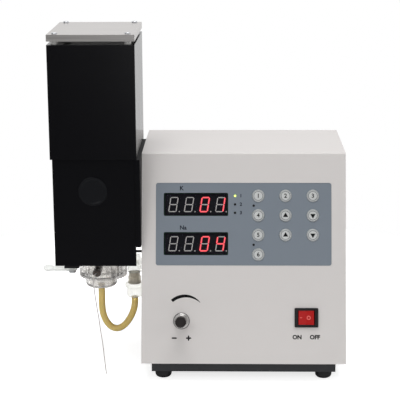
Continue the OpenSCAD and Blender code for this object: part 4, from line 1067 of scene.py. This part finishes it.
class PHOTOMETER_OT_spray_chamber(bpy.types.Operator):
    """Finishes the clear mixing chamber, its cup and the nebulizer"""

    bl_idname = "photometer.spray_chamber"
    bl_label = "Spray chamber"

    def execute(self, context):
        clear = finish(
            "clear acrylic", linear(249, 247, 244), roughness=0.16, grain=400, uneven=0.05,
            spread=0.08, bump=0.04, Transmission_Weight=0.8, IOR=1.38,
        )
        dress("mixing_chamber", clear)
        dress("chamber_cup", clear)
        brown = finish(
            "brown moulding", linear(58, 44, 36), roughness=0.22, grain=900, uneven=0.15,
            Coat_Weight=0.4,
        )
        dress("nebulizer", brown)
        return {"FINISHED"}


class PHOTOMETER_OT_drain_trap(bpy.types.Operator):
    """Finishes the drain trap beside the cabinet"""

    bl_idname = "photometer.drain_trap"
    bl_label = "Drain trap"

    def execute(self, context):
        colours = context.scene.photometer_colours
        edge = context.scene.photometer_sizes.edge
        white = finish(
            "white moulding", colours.trap, roughness=0.6, grain=900, uneven=0.04, bump=0.08,
            Transmission_Weight=0.75, IOR=1.03,
        )
        dress("trap_body", white, edge)
        dress("trap_nut", white, edge)
        cloudy = finish(
            "cloudy plastic", colours.sight, roughness=0.6, grain=600, uneven=0.1,
            Transmission_Weight=0.5, IOR=1.02,
        )
        dress("sight_tube", cloudy, edge)
        return {"FINISHED"}


class PHOTOMETER_OT_lever(bpy.types.Operator):
    """Finishes the lever under the tower"""

    bl_idname = "photometer.lever"
    bl_label = "Lever"

    def execute(self, context):
        pale = finish(
            "pale plastic", linear(250, 251, 249), roughness=0.5, grain=800, uneven=0.06,
            Transmission_Weight=0.55, IOR=1.05,
        )
        dress("shutter_lever", pale, 0.25 * MM)
        dress("lever_screw", steel_screw_finish(), 0.25 * MM)
        return {"FINISHED"}


class PHOTOMETER_OT_rear_connections(bpy.types.Operator):
    """Finishes the gas, air and mains inlets on the back"""

    bl_idname = "photometer.rear_connections"
    bl_label = "Rear connections"

    def execute(self, context):
        edge = context.scene.photometer_sizes.edge
        for node in ("gas_inlet", "air_inlet"):
            dress(node, turned_brass(), 0.2 * MM)
        dress("power_inlet", black_moulding(), edge)
        dress("inlet_pins", steel_screw_finish(), 0.2 * MM)
        return {"FINISHED"}


class PHOTOMETER_OT_insides(bpy.types.Operator):
    """Finishes what is inside the cabinet and between it and the tower"""

    bl_idname = "photometer.insides"
    bl_label = "Insides"

    def execute(self, context):
        board = finish(
            "circuit board", linear(28, 92, 54), roughness=0.4, grain=1200, uneven=0.3, bump=0.3,
            Coat_Weight=0.3,
        )
        for node in ("display_board", "main_board", "detector_board"):
            dress(node, board)
        plates = brushed("core plates", linear(92, 92, 96), (60, 2500, 60), roughness=0.45)
        dress("transformer_core", plates)
        winding = brushed("copper winding", linear(176, 104, 62), (60, 60, 2600), roughness=0.35)
        dress("transformer_coil", winding)
        black = finish("black hose", linear(30, 30, 32), roughness=0.5, grain=900, bump=0.15)
        dress("gas_line", black)
        dress("fuel_line", black)
        dress("air_line", finish("pale hose", linear(222, 222, 216), roughness=0.42, grain=700))
        anodised = finish(
            "black anodising", linear(52, 52, 56), roughness=0.4, grain=1500, Metallic=0.6
        )
        dress("filter_holder", anodised, 0.3 * MM)
        lens = finish(
            "lens glass", (0.95, 0.97, 0.98), roughness=0.05, grain=200, uneven=0.02, bump=0.0,
            Transmission_Weight=1.0, IOR=1.5,
        )
        dress("lens_tube", lens)
        return {"FINISHED"}


class PHOTOMETER_OT_stage(bpy.types.Operator):
    """Sets the pale floor, the studio light and the camera"""

    bl_idname = "photometer.stage"
    bl_label = "Stage"

    def execute(self, context):
        scene = context.scene
        scene.view_settings.view_transform = "Standard"
        self.floor()
        self.world(scene)
        for name, place, size, power, aim in STUDIO_LAMPS:
            light = bpy.data.lights.new(name, "AREA")
            light.shape = "DISK"
            light.size = size
            light.energy = power
            lamp = in_scene(name, light)
            lamp.location = place
            facing = Vector(aim) - Vector(place)
            lamp.rotation_euler = facing.to_track_quat("-Z", "Y").to_euler()
        self.camera(scene)
        return {"FINISHED"}

    def seen(self, tree):
        """The light path's outputs, and 1 for what the camera sees, also through glass."""
        paths = tree.nodes.new("ShaderNodeLightPath").outputs
        both = (paths["Is Camera Ray"], paths["Is Transmission Ray"])
        return paths, math_node(tree, "MAXIMUM", *both)

    def floor(self):
        """A round pale floor that is white to the camera and keeps the part's shadow."""
        bm = bmesh.new()
        bmesh.ops.create_circle(bm, cap_ends=True, segments=96, radius=FLOOR_R)
        mesh = as_mesh("floor", bm)
        floor = in_scene("floor", mesh)
        made, tree, shader = blank_finish(
            "pale floor", Base_Color=(0.82, 0.82, 0.82, 1), Roughness=0.9, Specular_IOR_Level=0.1
        )
        seen = self.seen(tree)[1]
        glow = tree.nodes.new("ShaderNodeEmission")
        add = tree.nodes.new("ShaderNodeAddShader")
        tree.links.new(math_node(tree, "MULTIPLY", seen, FLOOR_GLOW), glow.inputs["Strength"])
        tree.links.new(shader.outputs[0], add.inputs[0])
        tree.links.new(glow.outputs[0], add.inputs[1])
        tree.links.new(add.outputs[0], tree.nodes["Material Output"].inputs["Surface"])
        mesh.materials.append(made)

    def world(self, scene):
        """White round the sides and behind, and dim from the camera's side for gloss."""
        world = bpy.data.worlds.new("studio")
        scene.world = world
        world.use_nodes = True
        tree = world.node_tree
        shine = tree.nodes["Background"]
        paths, seen = self.seen(tree)
        ray = tree.nodes.new("ShaderNodeTexCoord")
        split = tree.nodes.new("ShaderNodeSeparateXYZ")
        tree.links.new(ray.outputs["Generated"], split.inputs[0])
        side = tree.nodes.new("ShaderNodeMapRange")
        side.interpolation_type = "SMOOTHSTEP"
        fill(side, {"From Min": -0.35, "From Max": 0.1, "To Min": 0.08, "To Max": 1.0})
        tree.links.new(split.outputs["Y"], side.inputs["Value"])
        gloss = math_node(tree, "MULTIPLY", paths["Is Glossy Ray"], side.outputs[0])
        taken = math_node(tree, "MAXIMUM", seen, paths["Is Glossy Ray"])
        rest = math_node(tree, "SUBTRACT", 1.0, taken)
        bright = math_node(tree, "ADD", seen, gloss)
        strength = math_node(tree, "MULTIPLY_ADD", rest, SOFT_LIGHT, bright)
        tree.links.new(math_node(tree, "MINIMUM", strength, 1.0), shine.inputs["Strength"])
        shine.inputs["Color"].default_value = (1, 1, 1, 1)

    def camera(self, scene):
        """The photograph's place and angle, fitted to the edges of cabinet and tower."""
        pitch, yaw, roll = CAMERA_PITCH, CAMERA_YAW, CAMERA_ROLL
        ahead = Vector((
            math.sin(yaw) * math.cos(pitch), math.cos(yaw) * math.cos(pitch), -math.sin(pitch)
        ))
        right = Vector((math.cos(yaw), -math.sin(yaw), 0))
        up = right.cross(ahead)
        side = right * math.cos(roll) + up * math.sin(roll)
        top = up * math.cos(roll) - right * math.sin(roll)
        data = bpy.data.cameras.new("camera")
        data.lens = CAMERA_LENS
        data.sensor_width = CAMERA_SENSOR
        data.clip_start = 0.05
        data.clip_end = 20
        camera = in_scene("camera", data)
        turn = Matrix((side, top, -ahead)).transposed().to_4x4()
        camera.matrix_world = Matrix.Translation(at(*CAMERA_PLACE)) @ turn
        scene.camera = camera


STEPS = (
    PHOTOMETER_OT_stage, PHOTOMETER_OT_drain_hose, PHOTOMETER_OT_capillary, PHOTOMETER_OT_case,
    PHOTOMETER_OT_screws, PHOTOMETER_OT_overlay, PHOTOMETER_OT_displays, PHOTOMETER_OT_keys,
    PHOTOMETER_OT_lamps, PHOTOMETER_OT_mains_switch, PHOTOMETER_OT_gas_valve,
    PHOTOMETER_OT_tower, PHOTOMETER_OT_spray_chamber, PHOTOMETER_OT_drain_trap,
    PHOTOMETER_OT_lever, PHOTOMETER_OT_rear_connections, PHOTOMETER_OT_insides,
)


class PHOTOMETER_PT_panel(bpy.types.Panel):
    """Lists the photometer's pieces, colours and sizes"""

    bl_idname = "PHOTOMETER_PT_panel"
    bl_label = "Flame photometer"
    bl_space_type = "VIEW_3D"
    bl_region_type = "UI"
    bl_category = "Photometer"

    def draw(self, context):
        for step in STEPS:
            self.layout.operator(step.bl_idname)
        for settings in (context.scene.photometer_colours, context.scene.photometer_sizes):
            for name in settings.__annotations__:
                self.layout.prop(settings, name)


CLASSES = (PhotometerColours, PhotometerSizes, *STEPS, PHOTOMETER_PT_panel)


def register():
    for cls in CLASSES:
        bpy.utils.register_class(cls)
    bpy.types.Scene.photometer_colours = PointerProperty(type=PhotometerColours)
    bpy.types.Scene.photometer_sizes = PointerProperty(type=PhotometerSizes)


def unregister():
    del bpy.types.Scene.photometer_sizes
    del bpy.types.Scene.photometer_colours
    for cls in reversed(CLASSES):
        bpy.utils.unregister_class(cls)


def main():
    register()
    for step in STEPS:
        family, name = step.bl_idname.split(".")
        getattr(getattr(bpy.ops, family), name)()


if __name__ == "__main__":
    main()
